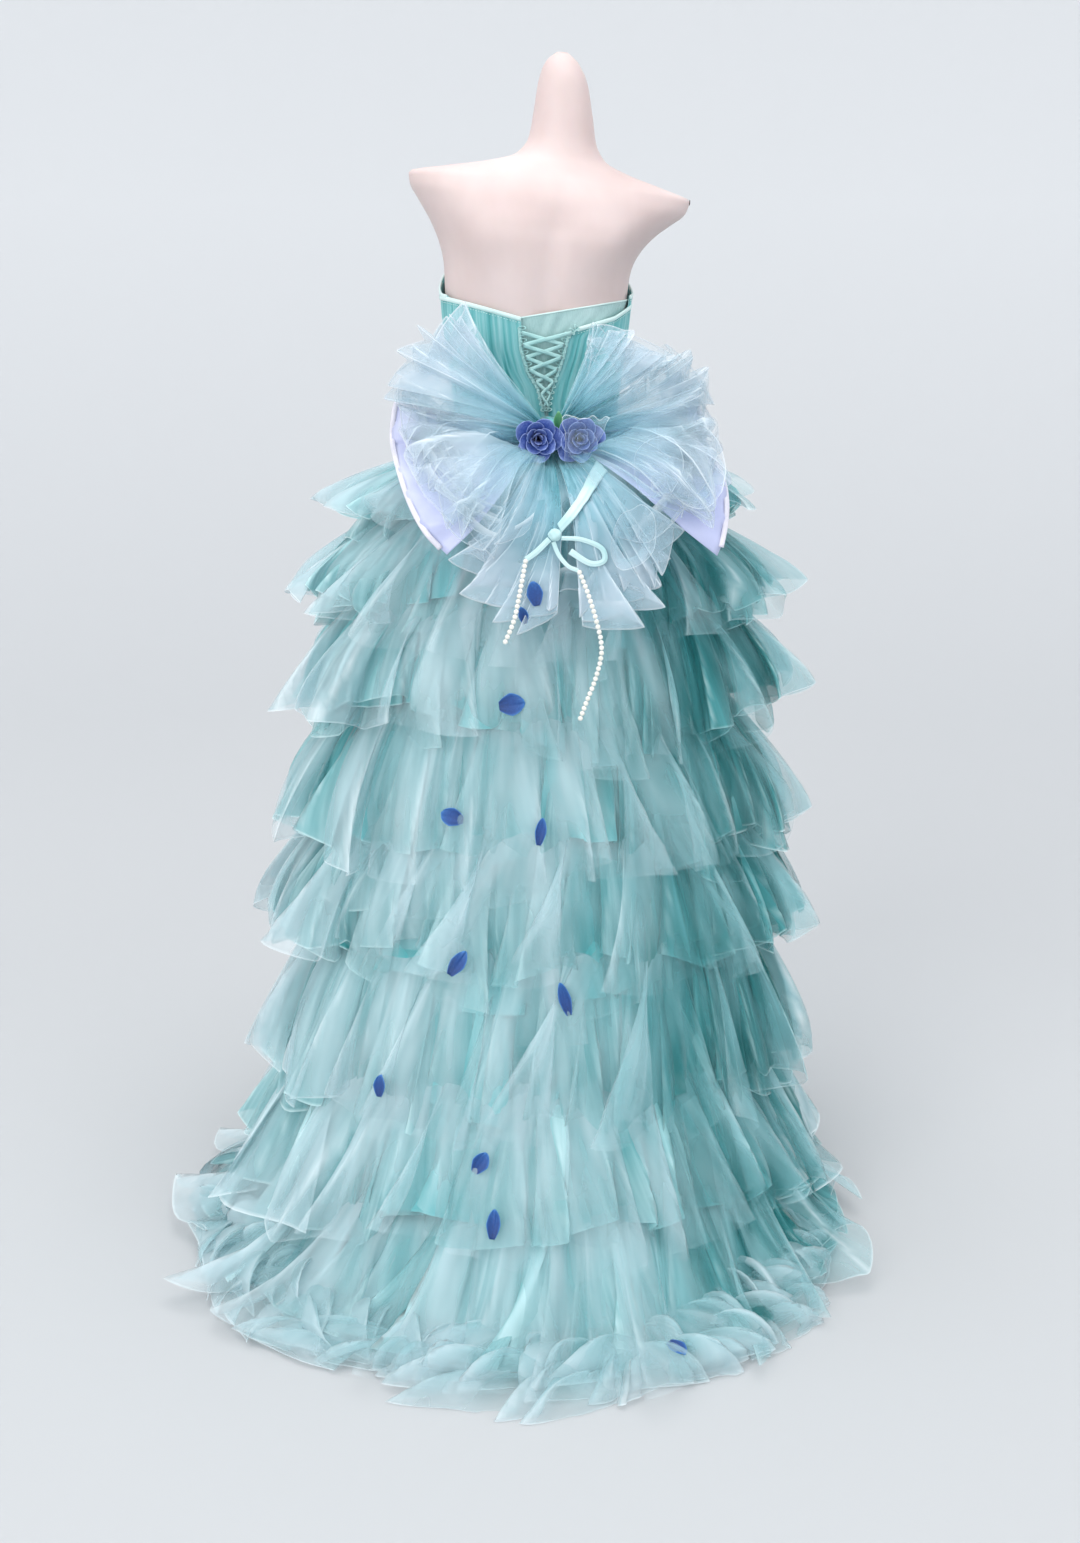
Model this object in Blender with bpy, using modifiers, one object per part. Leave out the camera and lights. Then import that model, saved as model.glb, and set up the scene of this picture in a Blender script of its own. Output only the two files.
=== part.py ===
"""Tiered tulle gown with a bustle bow, worn by a limbless dress form on a stand.

Metres, +Z up. The gown's front faces -Y and its laced back faces +Y. The origin is
the centre of the stand's underside. Angles round the gown start at the wearer's
left side, +X, and turn through the back, +Y.
"""

import math
import random
from typing import NamedTuple

import bpy
from mathutils import Vector
from mathutils.bvhtree import BVHTree

# Cloth walls and the gaps between sewn pieces
WALL = 0.002
THIN_WALL = 0.001
SEAM = 0.0003
FLOOR_GAP = 0.0003

# Bodice, as distances out from the form's surface
PANEL_GAP = 0.0007
BODICE_GAP = 0.0026
BODICE_WALL = 0.0018
BODICE_PLEAT = 0.0009
BODICE_SPRING = 0.0015
WAIST_Z = 1.085
SIDE_SEAM_ANGLE = math.radians(18)
SPRING_START_Z = 1.16
SPRING_HEIGHT = 0.14
PANEL_TUCK = 0.010
PANEL_LOW_Z = 1.105
BINDING_TALL = 0.006
BINDING_OVER = 0.0005
BINDING_CLEAR = 0.0004
BINDING_SEAM_ANGLE = 0.006

# Edges of the back opening: x of each edge, level by level, top first
LEFT_EDGE_LEVELS = (1.250, 1.210, 1.180, 1.160, 1.110, 1.060)
LEFT_EDGE_X = (0.030, 0.027, 0.018, 0.006, -0.0042, -0.0042)
RIGHT_EDGE_LEVELS = (1.240, 1.227, 1.200, 1.167, 1.140, 1.060)
RIGHT_EDGE_X = (-0.045, -0.028, -0.022, -0.012, -0.0058, -0.0058)
# Top edges as (x, z) places, from the side seam or the opening
BACK_TOP_LEFT = ((0.127, 1.280), (0.080, 1.266), (0.030, 1.251))
BACK_TOP_RIGHT = ((-0.045, 1.238), (-0.095, 1.252), (-0.125, 1.269))
PANEL_TOP_LEFT = (0.034, 1.2495)
PANEL_TOP_RIGHT = (-0.088, 1.2620)
PANEL_LEVELS = (1.262, 1.235, 1.210, 1.180, 1.150, 1.105)
PANEL_RIGHT_X = (-0.088, -0.076, -0.060, -0.044, -0.028, -0.016)
# Sweetheart edge of the front
FRONT_TOP_SIDE = 1.281
FRONT_TOP_PEAK = 1.338
FRONT_TOP_CENTRE = 1.300
PEAK_ANGLE = math.radians(28)
BODICE_LEVELS = (1.16, 1.22)
FRONT_LEVELS = (1.16, 1.22, 1.26)

# Lacing
LACE_WIDTH = 0.004
LACE_BLUNT = 0.0006
LACE_BEND_WIDTH = 0.030
LACE_CROSSINGS = 6
LACE_TOP_Z = 1.232
LACE_LOW_Z = 1.135
LOOP_REACH = 0.005

# Skirt
WAVE_POINTS = 4
UNDERSKIRT_COLUMNS = 24
TIER_STEP = 0.0031
SHELF_STEP = 0.0019
HEM_UNEVEN = 0.012
TRAIN_LIE = 2.3
TRAIN_LIFT = 0.018

# Bow
HUB_X = -0.005
HUB_Z = 1.102
HUB_RADIUS = 0.021
HUB_FRONT_Y = 0.1026
HUB_BACK_Y = 0.204
FAN_CLEAR = 0.0012

# Trims
PEARL_DIAMETER = 0.0065
ROSE_RADIUS = 0.026
ROSE_HEIGHT = 0.024
KNOT_RADIUS = 0.008
PETAL_WALL = 0.0012
PETAL_LIFT = 0.0009
PETAL_STRAIGHT = 1.0

# Stand
BASE_RADIUS = 0.16
BASE_THICK = 0.010
BOSS_RADIUS = 0.030
BOSS_TOP_Z = 0.030
POLE_RADIUS = 0.0125
FORM_COLUMNS = 20


class Section(NamedTuple):
    """A level ring: half widths to +X and -X, reach to -Y and +Y, and the y of its widest place."""

    z: float
    left: float
    right: float
    front: float
    back: float
    centre: float


class FormSection(NamedTuple):
    """A level ring of the dress form, moved sideways by shift."""

    z: float
    half_width: float
    front: float
    back: float
    shift: float


class Tier(NamedTuple):
    """One gathered flounce.

    swell is 1 where it falls straight and 2 where it puffs out, and dip is how much
    lower its hem hangs at the centre front and back than at the sides.
    """

    name: str
    top_z: float
    hem_z: float
    left: float
    right: float
    front: float
    back: float
    centre: float
    swell: float
    side_wave: float
    back_wave: float
    dip: float
    waves: int


class Fan(NamedTuple):
    """A pleated piece that spreads from the bow's centre, between two angles seen from behind."""

    name: str
    finish: str
    start_deg: float
    end_deg: float
    start_reach: float
    middle_reach: float
    end_reach: float
    lift: float
    pleat: float
    pleats: int


class Petal(NamedTuple):
    """A loose cloth petal: where it lies, its size, and its turn in its own plane."""

    carrier: str
    x: float
    height: float
    width: float
    length: float
    turn_deg: float


FORM = (
    FormSection(0.900, 0.100, 0.075, 0.085, 0.000),
    FormSection(0.980, 0.132, 0.095, 0.112, 0.000),
    FormSection(1.040, 0.124, 0.090, 0.104, 0.000),
    FormSection(1.100, 0.108, 0.084, 0.096, 0.000),
    FormSection(1.160, 0.113, 0.094, 0.096, 0.000),
    FormSection(1.220, 0.121, 0.114, 0.100, 0.000),
    FormSection(1.260, 0.125, 0.124, 0.103, 0.000),
    FormSection(1.295, 0.127, 0.120, 0.105, -0.001),
    FormSection(1.320, 0.130, 0.110, 0.106, -0.003),
    FormSection(1.345, 0.139, 0.098, 0.106, -0.006),
    FormSection(1.370, 0.155, 0.085, 0.103, -0.010),
    FormSection(1.390, 0.173, 0.074, 0.097, -0.014),
    FormSection(1.410, 0.190, 0.062, 0.088, -0.018),
    FormSection(1.425, 0.193, 0.052, 0.078, -0.020),
    FormSection(1.437, 0.150, 0.046, 0.068, -0.025),
    FormSection(1.449, 0.098, 0.043, 0.060, -0.030),
    FormSection(1.462, 0.062, 0.040, 0.053, -0.034),
    FormSection(1.485, 0.046, 0.037, 0.046, -0.036),
    FormSection(1.520, 0.040, 0.033, 0.040, -0.037),
    FormSection(1.560, 0.033, 0.028, 0.033, -0.037),
    FormSection(1.585, 0.022, 0.019, 0.021, -0.036),
    FormSection(1.597, 0.008, 0.007, 0.008, -0.036),
)
SHOULDER_TILT = 0.097
TILT_START_Z = 1.30
TILT_FULL_Z = 1.40

UNDERSKIRT = (
    Section(1.082, 0.1175, 0.1175, 0.0945, 0.1060, 0.00),
    Section(1.062, 0.1195, 0.1195, 0.0965, 0.1080, 0.00),
    Section(1.035, 0.155, 0.155, 0.130, 0.150, 0.00),
    Section(1.000, 0.188, 0.188, 0.165, 0.190, 0.00),
    Section(0.900, 0.214, 0.214, 0.203, 0.233, 0.00),
    Section(0.760, 0.234, 0.234, 0.223, 0.258, 0.00),
    Section(0.620, 0.252, 0.250, 0.236, 0.283, 0.01),
    Section(0.470, 0.280, 0.275, 0.258, 0.313, 0.03),
    Section(0.290, 0.300, 0.292, 0.282, 0.348, 0.05),
    Section(0.120, 0.328, 0.318, 0.307, 0.398, 0.08),
    Section(0.025, 0.335, 0.325, 0.315, 0.420, 0.09),
)

TIERS = (
    Tier("tier_1", 1.078, 1.045, 0.296, 0.306, 0.250, 0.285, 0.02, 2.0, 0.020, 0.014, 0.045, 14),
    Tier("tier_2", 1.000, 0.895, 0.330, 0.348, 0.285, 0.325, 0.02, 2.0, 0.026, 0.015, 0.030, 15),
    Tier("tier_3", 0.905, 0.748, 0.350, 0.362, 0.303, 0.350, 0.02, 2.0, 0.028, 0.015, 0.020, 16),
    Tier("tier_4", 0.760, 0.565, 0.376, 0.372, 0.322, 0.375, 0.03, 2.0, 0.028, 0.015, 0.010, 16),
    Tier("tier_5", 0.620, 0.415, 0.385, 0.380, 0.338, 0.402, 0.04, 1.9, 0.028, 0.015, 0.005, 17),
    Tier("tier_6", 0.470, 0.225, 0.396, 0.378, 0.352, 0.440, 0.07, 1.7, 0.028, 0.016, 0.0, 17),
    Tier("tier_7", 0.290, 0.085, 0.458, 0.388, 0.372, 0.515, 0.15, 1.0, 0.030, 0.018, 0.0, 17),
    Tier("tier_8", 0.115, 0.000, 0.520, 0.420, 0.400, 0.725, 0.20, 1.0, 0.018, 0.016, 0.0, 18),
)
TIER_ROWS = (0.0, 0.35, 0.70, 1.0)
TRAIN_ROWS = (0.0, 0.25, 0.50, 0.75, 1.0)
WAVE_GROWTH = 1.3

# Back of the bustle that the bow lies on: its y at the centre, level by level, top first
BUSTLE_LEVELS = (1.30, 1.08, 1.055, 1.03, 1.00, 0.95, 0.90, 0.86, 0.80)
BUSTLE_BACKS = (0.130, 0.136, 0.228, 0.290, 0.318, 0.326, 0.338, 0.350, 0.358)
BUSTLE_ROUND_HIGH = 1.0
BUSTLE_ROUND_LOW = 0.85
BUSTLE_ROUND_TOP_Z = 1.12
BUSTLE_ROUND_LOW_Z = 1.05

FANS = (
    Fan("satin_left", "lilac_satin", -43, 11, 0.204, 0.210, 0.205, 0.004, 0.0015, 2),
    Fan("satin_right", "lilac_satin", 168, 217, 0.205, 0.222, 0.245, 0.004, 0.0015, 2),
    Fan("fan_upper_left", "bow_tulle", 12, 49, 0.226, 0.236, 0.214, 0.021, 0.013, 4),
    Fan("fan_over_left", "bow_tulle", -48, 10, 0.178, 0.200, 0.212, 0.020, 0.009, 4),
    Fan("fan_upper_right", "bow_tulle", 113, 148, 0.168, 0.182, 0.190, 0.020, 0.013, 4),
    Fan("fan_outer_right", "bow_tulle", 150, 177, 0.222, 0.236, 0.232, 0.020, 0.012, 3),
    Fan("fan_over_right", "bow_tulle", 178, 212, 0.235, 0.238, 0.205, 0.022, 0.0045, 4),
    Fan("tail_left", "aqua_tulle", -86, -49, 0.250, 0.245, 0.200, 0.010, 0.005, 3),
    Fan("tail_right", "aqua_tulle", -141, -94, 0.200, 0.238, 0.262, 0.010, 0.005, 4),
)
FAN_ROWS = (0.0, 0.14, 0.32, 0.62, 1.0)
FAN_RAGGED = 0.05
FAN_LEAN = 0.45
FAN_SLOPE_REACH = 0.024
SMOOTHED_FANS = ("fan_over_right",)
SLOPE_REACH = 0.012

PETALS = (
    Petal("tail_left", 0.039, 0.918, 0.018, 0.028, 10),
    Petal("tail_left", 0.054, 0.892, 0.011, 0.020, 15),
    Petal("tier_3", 0.064, 0.771, 0.026, 0.030, -80),
    Petal("tier_4", 0.140, 0.617, 0.022, 0.030, 80),
    Petal("tier_4", 0.030, 0.607, 0.013, 0.032, -10),
    Petal("tier_5", 0.140, 0.438, 0.018, 0.034, -35),
    Petal("tier_6", 0.001, 0.385, 0.015, 0.040, 15),
    Petal("tier_6", 0.242, 0.262, 0.016, 0.027, 0),
    Petal("tier_7", 0.117, 0.184, 0.020, 0.027, -35),
    Petal("tier_7", 0.104, 0.116, 0.017, 0.034, -8),
    Petal("tier_8", -0.116, 0.600, 0.017, 0.026, 30),
)
PETAL_ROWS = 5
PETAL_TIP = 0.12

# Ribbon, laid over the bustle through (x, z) places, and the strings of pearls at its ends
RIBBON_LIFT = 0.0220
BAND_LIFT = 0.0116
KNOT_PLACE = (0.012, 0.986)
KNOT_CLEAR = KNOT_RADIUS + 0.0004
BAND_ROUTE = ((-0.061, 1.0535), (-0.040, 1.034), (-0.015, 1.008),
              (KNOT_PLACE[0] - KNOT_CLEAR * 0.66, KNOT_PLACE[1] + KNOT_CLEAR * 0.66))
LOOP_ROUTE = ((KNOT_PLACE[0] - KNOT_CLEAR * 0.93, KNOT_PLACE[1] - 0.004), (-0.020, 0.980),
              (-0.044, 0.969), (-0.047, 0.953), (-0.030, 0.950), (-0.006, 0.966))
LEFT_END_ROUTE = ((KNOT_PLACE[0] + KNOT_CLEAR * 0.8, KNOT_PLACE[1] - KNOT_CLEAR * 0.6),
                  (0.034, 0.966), (0.047, 0.956))
RIGHT_END_ROUTE = ((KNOT_PLACE[0] + 0.002, KNOT_PLACE[1] - KNOT_CLEAR - 0.0001), (0.008, 0.962),
                   (-0.003, 0.947), (-0.0155, 0.9405))
PEARL_ROUTES = {
    "pearls_left": ((0.0496, 0.3476, 0.9580), (0.054, 0.357, 0.940), (0.060, 0.368, 0.915),
                    (0.067, 0.376, 0.888), (0.078, 0.380, 0.863)),
    "pearls_right": ((-0.0176, 0.3511, 0.9438), (-0.027, 0.364, 0.918), (-0.037, 0.376, 0.882),
                     (-0.042, 0.383, 0.850), (-0.034, 0.385, 0.815), (-0.022, 0.387, 0.785),
                     (-0.015, 0.388, 0.766)),
}

# Roses: x and z of each one's middle, its profile as (radius, share of its height), and the leaf
ROSES = (("rose_left", 0.0195, 1.099), ("rose_right", -0.0345, 1.099))
ROSE_PROFILE = (
    (0.0, 0.80), (0.0050, 1.0), (0.0085, 0.78), (0.0130, 0.92), (0.0170, 0.60), (0.0215, 0.72),
    (ROSE_RADIUS, 0.42), (0.0205, 0.04), (0.0190, 0.0), (0.0, 0.0),
)
LEAF_X = -0.0075
LEAF_Z = 1.110
LEAF_LENGTH = 0.024
LEAF_HALF_WIDTH = 0.0068

# Colour, roughness and metallic value of each finish
FINISHES = {
    "aqua_tulle": ((0.42, 0.72, 0.74, 1.0), 0.85, 0.0),
    "bow_tulle": ((0.66, 0.80, 0.87, 1.0), 0.80, 0.0),
    "teal_satin": ((0.05, 0.34, 0.32, 1.0), 0.45, 0.0),
    "aqua_satin": ((0.22, 0.56, 0.56, 1.0), 0.50, 0.0),
    "mint_satin": ((0.45, 0.70, 0.66, 1.0), 0.35, 0.0),
    "pale_binding": ((0.62, 0.84, 0.80, 1.0), 0.50, 0.0),
    "lilac_satin": ((0.48, 0.52, 0.80, 1.0), 0.35, 0.0),
    "blue_cloth": ((0.03, 0.06, 0.38, 1.0), 0.60, 0.0),
    "leaf_green": ((0.05, 0.25, 0.08, 1.0), 0.60, 0.0),
    "pearl": ((0.88, 0.86, 0.80, 1.0), 0.20, 0.0),
    "form_shell": ((0.86, 0.70, 0.68, 1.0), 0.55, 0.0),
    "stand_metal": ((0.75, 0.75, 0.76, 1.0), 0.30, 1.0),
}


def clear_scene():
    """Remove what the startup file holds."""
    for item in list(bpy.data.objects):
        bpy.data.objects.remove(item, do_unlink=True)


def make_materials():
    """One Principled material for each finish."""
    made = {}
    for name, (colour, roughness, metallic) in FINISHES.items():
        material = bpy.data.materials.new(name)
        material.use_nodes = True
        shader = material.node_tree.nodes["Principled BSDF"]
        shader.inputs["Base Color"].default_value = colour
        shader.inputs["Roughness"].default_value = roughness
        shader.inputs["Metallic"].default_value = metallic
        material.diffuse_color = colour
        made[name] = material
    return made


def blend(first, second, share):
    """A value between two others."""
    return first + (second - first) * share


def ramp(levels, values, level):
    """Value at a level, read between falling levels and held past the ends."""
    if level >= levels[0]:
        return values[0]
    for upper, lower, high, low in zip(levels, levels[1:], values, values[1:]):
        if level >= lower:
            return blend(high, low, (upper - level) / (upper - lower))
    return values[-1]


def section_at(sections, z):
    """Section of a table at a height, read between its rows."""
    ordered = sorted(sections, key=lambda row: row.z)
    z = min(max(z, ordered[0].z), ordered[-1].z)
    for low, high in zip(ordered, ordered[1:]):
        if z <= high.z:
            share = (z - low.z) / (high.z - low.z)
            return type(low)(*(blend(a, b, share) for a, b in zip(low, high)))
    return ordered[-1]


def ring_point(section, angle, out=0.0):
    """Point of a level section at an angle, moved outwards."""
    across = math.cos(angle)
    along = math.sin(angle)
    wide = section.left if across > 0 else section.right
    deep = section.back - section.centre if along > 0 else section.front + section.centre
    outward = Vector((across / wide, along / deep, 0.0)).normalized()
    return Vector((wide * across, section.centre + deep * along, section.z)) + out * outward


def form_point(angle, z, out=0.0):
    """Point on the dress form's surface, moved outwards, with the shoulders' tilt."""
    row = section_at(FORM, z)
    across = math.cos(angle)
    along = math.sin(angle)
    deep = row.back if along > 0 else row.front
    outward = Vector((across / row.half_width, along / deep, 0.0)).normalized()
    place = Vector((row.half_width * across, deep * along, z)) + out * outward
    tilt = SHOULDER_TILT * min(max((z - TILT_START_Z) / (TILT_FULL_Z - TILT_START_Z), 0.0), 1.0)
    place.z += tilt * place.x
    place.x += row.shift
    return place


def link_mesh(name, points, faces, material):
    """A smooth-shaded mesh object in the gown's collection."""
    mesh = bpy.data.meshes.new(name)
    mesh.from_pydata([tuple(point) for point in points], [], faces)
    mesh.materials.append(material)
    mesh.shade_smooth()
    mesh.set_sharp_from_angle(angle=math.radians(40))
    made = bpy.data.objects.new(name, mesh)
    GOWN.objects.link(made)
    return made


def grid_faces(rows, columns, closed, start=0, flip=False):
    """Triangles over a grid of points, all split along the same diagonal."""
    faces = []
    for row in range(rows - 1):
        for column in range(columns if closed else columns - 1):
            beside = (column + 1) % columns
            a = start + row * columns + column
            b = start + (row + 1) * columns + column
            c = start + (row + 1) * columns + beside
            d = start + row * columns + beside
            pair = ((a, b, c), (a, c, d))
            faces += [corners[::-1] for corners in pair] if flip else pair
    return faces


def cloth(name, grid, material, closed=False, wall=WALL):
    """A wall of cloth, half its thickness to each side of a grid of points."""
    columns = len(grid[0])
    points = [point for row in grid for point in row]
    made = link_mesh(name, points, grid_faces(len(grid), columns, closed), material)
    thicken = made.modifiers.new("wall", "SOLIDIFY")
    thicken.thickness = wall
    thicken.offset = 0.0
    return made


def lined_wall(name, inner, outer, material):
    """An open wall between a plain inner grid and a raised outer grid of the same size."""
    rows = len(inner)
    columns = len(inner[0])
    count = rows * columns
    points = [point for row in outer for point in row] + [point for row in inner for point in row]
    faces = grid_faces(rows, columns, False) + grid_faces(rows, columns, False, count, True)
    edge = list(range(columns))
    edge += [row * columns + columns - 1 for row in range(1, rows)]
    edge += [(rows - 1) * columns + column for column in range(columns - 2, -1, -1)]
    edge += [row * columns for row in range(rows - 2, 0, -1)]
    for here, after in zip(edge, edge[1:] + edge[:1]):
        faces.append((here, after, after + count, here + count))
    return link_mesh(name, points, faces, material)


def solid_loft(name, rings, material):
    """A closed body through rings of points, with flat ends."""
    columns = len(rings[0])
    points = [point for ring in rings for point in ring]
    faces = grid_faces(len(rings), columns, True)
    faces.append(tuple(range(columns)))
    last = (len(rings) - 1) * columns
    faces.append(tuple(range(last + columns - 1, last - 1, -1)))
    return link_mesh(name, points, faces, material)


def turned(name, profile, steps, material):
    """A body turned round its own Z from a profile of (radius, height) pairs, top first."""
    mesh = bpy.data.meshes.new(name)
    edges = [(index, index + 1) for index in range(len(profile) - 1)]
    mesh.from_pydata([(radius, 0.0, height) for radius, height in profile], edges, [])
    mesh.materials.append(material)
    made = bpy.data.objects.new(name, mesh)
    GOWN.objects.link(made)
    screw = made.modifiers.new("turn", "SCREW")
    screw.steps = steps
    screw.render_steps = steps
    screw.use_merge_vertices = True
    screw.merge_threshold = 0.00005
    screw.use_smooth_shade = True
    return made


def smooth_route(points, count):
    """Evenly numbered points on one smooth curve through a few hand-placed ones."""
    ends = [points[0] * 2 - points[1]] + list(points) + [points[-1] * 2 - points[-2]]
    route = []
    for step in range(count):
        place = step * (len(points) - 1) / (count - 1)
        index = min(int(place), len(points) - 2)
        t = place - index
        a, b, c, d = ends[index:index + 4]
        route.append(0.5 * (2 * b + (c - a) * t + (2 * a - 5 * b + 4 * c - d) * t ** 2
                            + (3 * b - a - 3 * c + d) * t ** 3))
    return route


# Dress form and stand

def build_form():
    """The limbless torso: one closed loft with a flat underside."""
    rings = []
    for row in reversed(FORM):
        rings.append([form_point(math.tau * step / FORM_COLUMNS, row.z) for step in range(FORM_COLUMNS)])
    solid_loft("form_torso", rings, MATERIALS["form_shell"])


def build_stand():
    """The pole and the round base under the skirt."""
    profile = (
        (0.0, BOSS_TOP_Z), (BOSS_RADIUS * 0.8, BOSS_TOP_Z), (BOSS_RADIUS, BASE_THICK * 1.6),
        (BASE_RADIUS * 0.93, BASE_THICK), (BASE_RADIUS, BASE_THICK * 0.5), (BASE_RADIUS, 0.0), (0.0, 0.0),
    )
    turned("stand_base", profile, 32, MATERIALS["stand_metal"])
    low = BOSS_TOP_Z + SEAM
    high = FORM[0].z - SEAM
    pole = (
        (0.0, high), (POLE_RADIUS, high), (POLE_RADIUS, low), (0.0, low),
    )
    turned("stand_pole", pole, 16, MATERIALS["stand_metal"])


# Bodice

def angle_of_x(z, x):
    """Angle on the back of the form at which its surface reaches an x."""
    row = section_at(FORM, z)
    share = (x - row.shift) / row.half_width
    return math.acos(min(max(share, -1.0), 1.0))


def top_of_back(x):
    """Height of the back's top edge over an x, on either side of the lacing."""
    places = BACK_TOP_LEFT if x > 0 else BACK_TOP_RIGHT
    return ramp([place[0] for place in places], [place[1] for place in places], x)


def spring(z):
    """How far the bodice has sprung off the form at a height: nothing at the waist."""
    return BODICE_SPRING * min(max((z - SPRING_START_Z) / SPRING_HEIGHT, 0.0), 1.0)


def bodice_grids(angles_of_row, heights_of_column, columns, pleats):
    """Inner and outer grids of a bodice panel, its outer points raised in upright pleats."""
    inner = []
    outer = []
    rows = len(heights_of_column(0.0))
    for row in range(rows):
        inner_row = []
        outer_row = []
        for column in range(columns):
            share = column / (columns - 1)
            z = heights_of_column(share)[row]
            start, end = angles_of_row(z)
            angle = blend(start, end, share)
            raised = BODICE_PLEAT if 0 < column < columns - 1 and (column // pleats) % 2 else 0.0
            gap = BODICE_GAP + spring(z)
            inner_row.append(form_point(angle, z, gap))
            outer_row.append(form_point(angle, z, gap + BODICE_WALL + raised))
        inner.append(inner_row)
        outer.append(outer_row)
    return inner, outer


def back_rows(top):
    """Heights of a back panel's rows below a top edge."""
    return (WAIST_Z,) + BODICE_LEVELS + (top,)


def build_bodice():
    """Front, two back panels, and the plain panel that shows through the lacing."""
    satin = MATERIALS["aqua_satin"]
    gap = SEAM / 2 / FORM[6].half_width

    def left_angles(z):
        return SIDE_SEAM_ANGLE + gap, angle_of_x(z, ramp(LEFT_EDGE_LEVELS, LEFT_EDGE_X, z))

    def left_heights(share):
        x = blend(BACK_TOP_LEFT[0][0], BACK_TOP_LEFT[-1][0], share)
        return back_rows(top_of_back(x))[::-1]

    def right_angles(z):
        return angle_of_x(z, ramp(RIGHT_EDGE_LEVELS, RIGHT_EDGE_X, z)), math.pi - SIDE_SEAM_ANGLE - gap

    def right_heights(share):
        x = blend(BACK_TOP_RIGHT[0][0], BACK_TOP_RIGHT[-1][0], share)
        return back_rows(top_of_back(x))[::-1]

    def front_angles(z):
        return math.pi - SIDE_SEAM_ANGLE + gap, math.tau + SIDE_SEAM_ANGLE - gap

    def front_heights(share):
        top = front_top(share)
        return (top, blend(FRONT_LEVELS[-1], top, 0.5)) + FRONT_LEVELS[::-1] + (WAIST_Z,)

    lined_wall("bodice_back_left", *bodice_grids(left_angles, left_heights, 11, 1), satin)
    lined_wall("bodice_back_right", *bodice_grids(right_angles, right_heights, 11, 1), satin)
    lined_wall("bodice_front", *bodice_grids(front_angles, front_heights, 37, 2), satin)
    build_lacing_panel()


def front_top(share):
    """Height of the sweetheart edge, from one side seam round the front to the other."""
    swing = math.pi + 2 * SIDE_SEAM_ANGLE
    off_centre = abs(share - 0.5) * swing
    if off_centre < PEAK_ANGLE:
        rise = math.sin(off_centre / PEAK_ANGLE * math.pi / 2)
        return blend(FRONT_TOP_CENTRE, FRONT_TOP_PEAK, rise)
    fall = (off_centre - PEAK_ANGLE) / (swing / 2 - PEAK_ANGLE)
    return blend(FRONT_TOP_SIDE, FRONT_TOP_PEAK, (1 + math.cos(fall * math.pi)) / 2)


def build_lacing_panel():
    """The smooth panel behind the lacing, tucked under both back panels."""
    rows = 6
    columns = 9
    inner = []
    outer = []
    for row in range(rows):
        drop = row / (rows - 1)
        inner_row = []
        outer_row = []
        for column in range(columns):
            share = column / (columns - 1)
            top = blend(PANEL_TOP_LEFT[1], PANEL_TOP_RIGHT[1], share)
            z = blend(top, PANEL_LOW_Z, drop)
            left = ramp(LEFT_EDGE_LEVELS, LEFT_EDGE_X, z) + PANEL_TUCK
            right = ramp(PANEL_LEVELS, PANEL_RIGHT_X, z)
            if row == 0:
                left, right = PANEL_TOP_LEFT[0], PANEL_TOP_RIGHT[0]
            angle = angle_of_x(z, blend(left, right, share))
            inner_row.append(form_point(angle, z, PANEL_GAP))
            outer_row.append(form_point(angle, z, PANEL_GAP + THIN_WALL))
        inner.append(inner_row)
        outer.append(outer_row)
    lined_wall("lacing_panel", inner, outer, MATERIALS["mint_satin"])


def build_bindings():
    """Narrow pale bands over the top edges."""
    out = BODICE_GAP + BODICE_WALL + BODICE_PLEAT + SEAM + THIN_WALL / 2

    def band(name, angles, heights):
        grid = []
        for drop in (-BINDING_OVER, BINDING_TALL):
            grid.append([form_point(angle, z - drop, out + spring(z) + BINDING_CLEAR)
                         for angle, z in zip(angles, heights)])
        cloth(name, grid, MATERIALS["pale_binding"], wall=THIN_WALL)

    count = 10
    for name, seam, last_x in (
        ("binding_left", SIDE_SEAM_ANGLE + BINDING_SEAM_ANGLE, BACK_TOP_LEFT[-1][0] + BINDING_OVER),
        ("binding_right", math.pi - SIDE_SEAM_ANGLE - BINDING_SEAM_ANGLE,
         BACK_TOP_RIGHT[0][0] - BINDING_OVER),
    ):
        last = angle_of_x(top_of_back(last_x), last_x)
        angles = [blend(seam, last, step / (count - 1)) for step in range(count)]
        if name == "binding_right":
            angles.reverse()
        heights = [top_of_back(form_point(angle, BACK_TOP_LEFT[1][1]).x) for angle in angles]
        band(name, angles, heights)
    shares = [step / 34 for step in range(35)]
    start = math.pi - SIDE_SEAM_ANGLE + BINDING_SEAM_ANGLE
    end = math.tau + SIDE_SEAM_ANGLE - BINDING_SEAM_ANGLE
    band("binding_front", [blend(start, end, share) for share in shares],
         [front_top(share) for share in shares])


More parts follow.
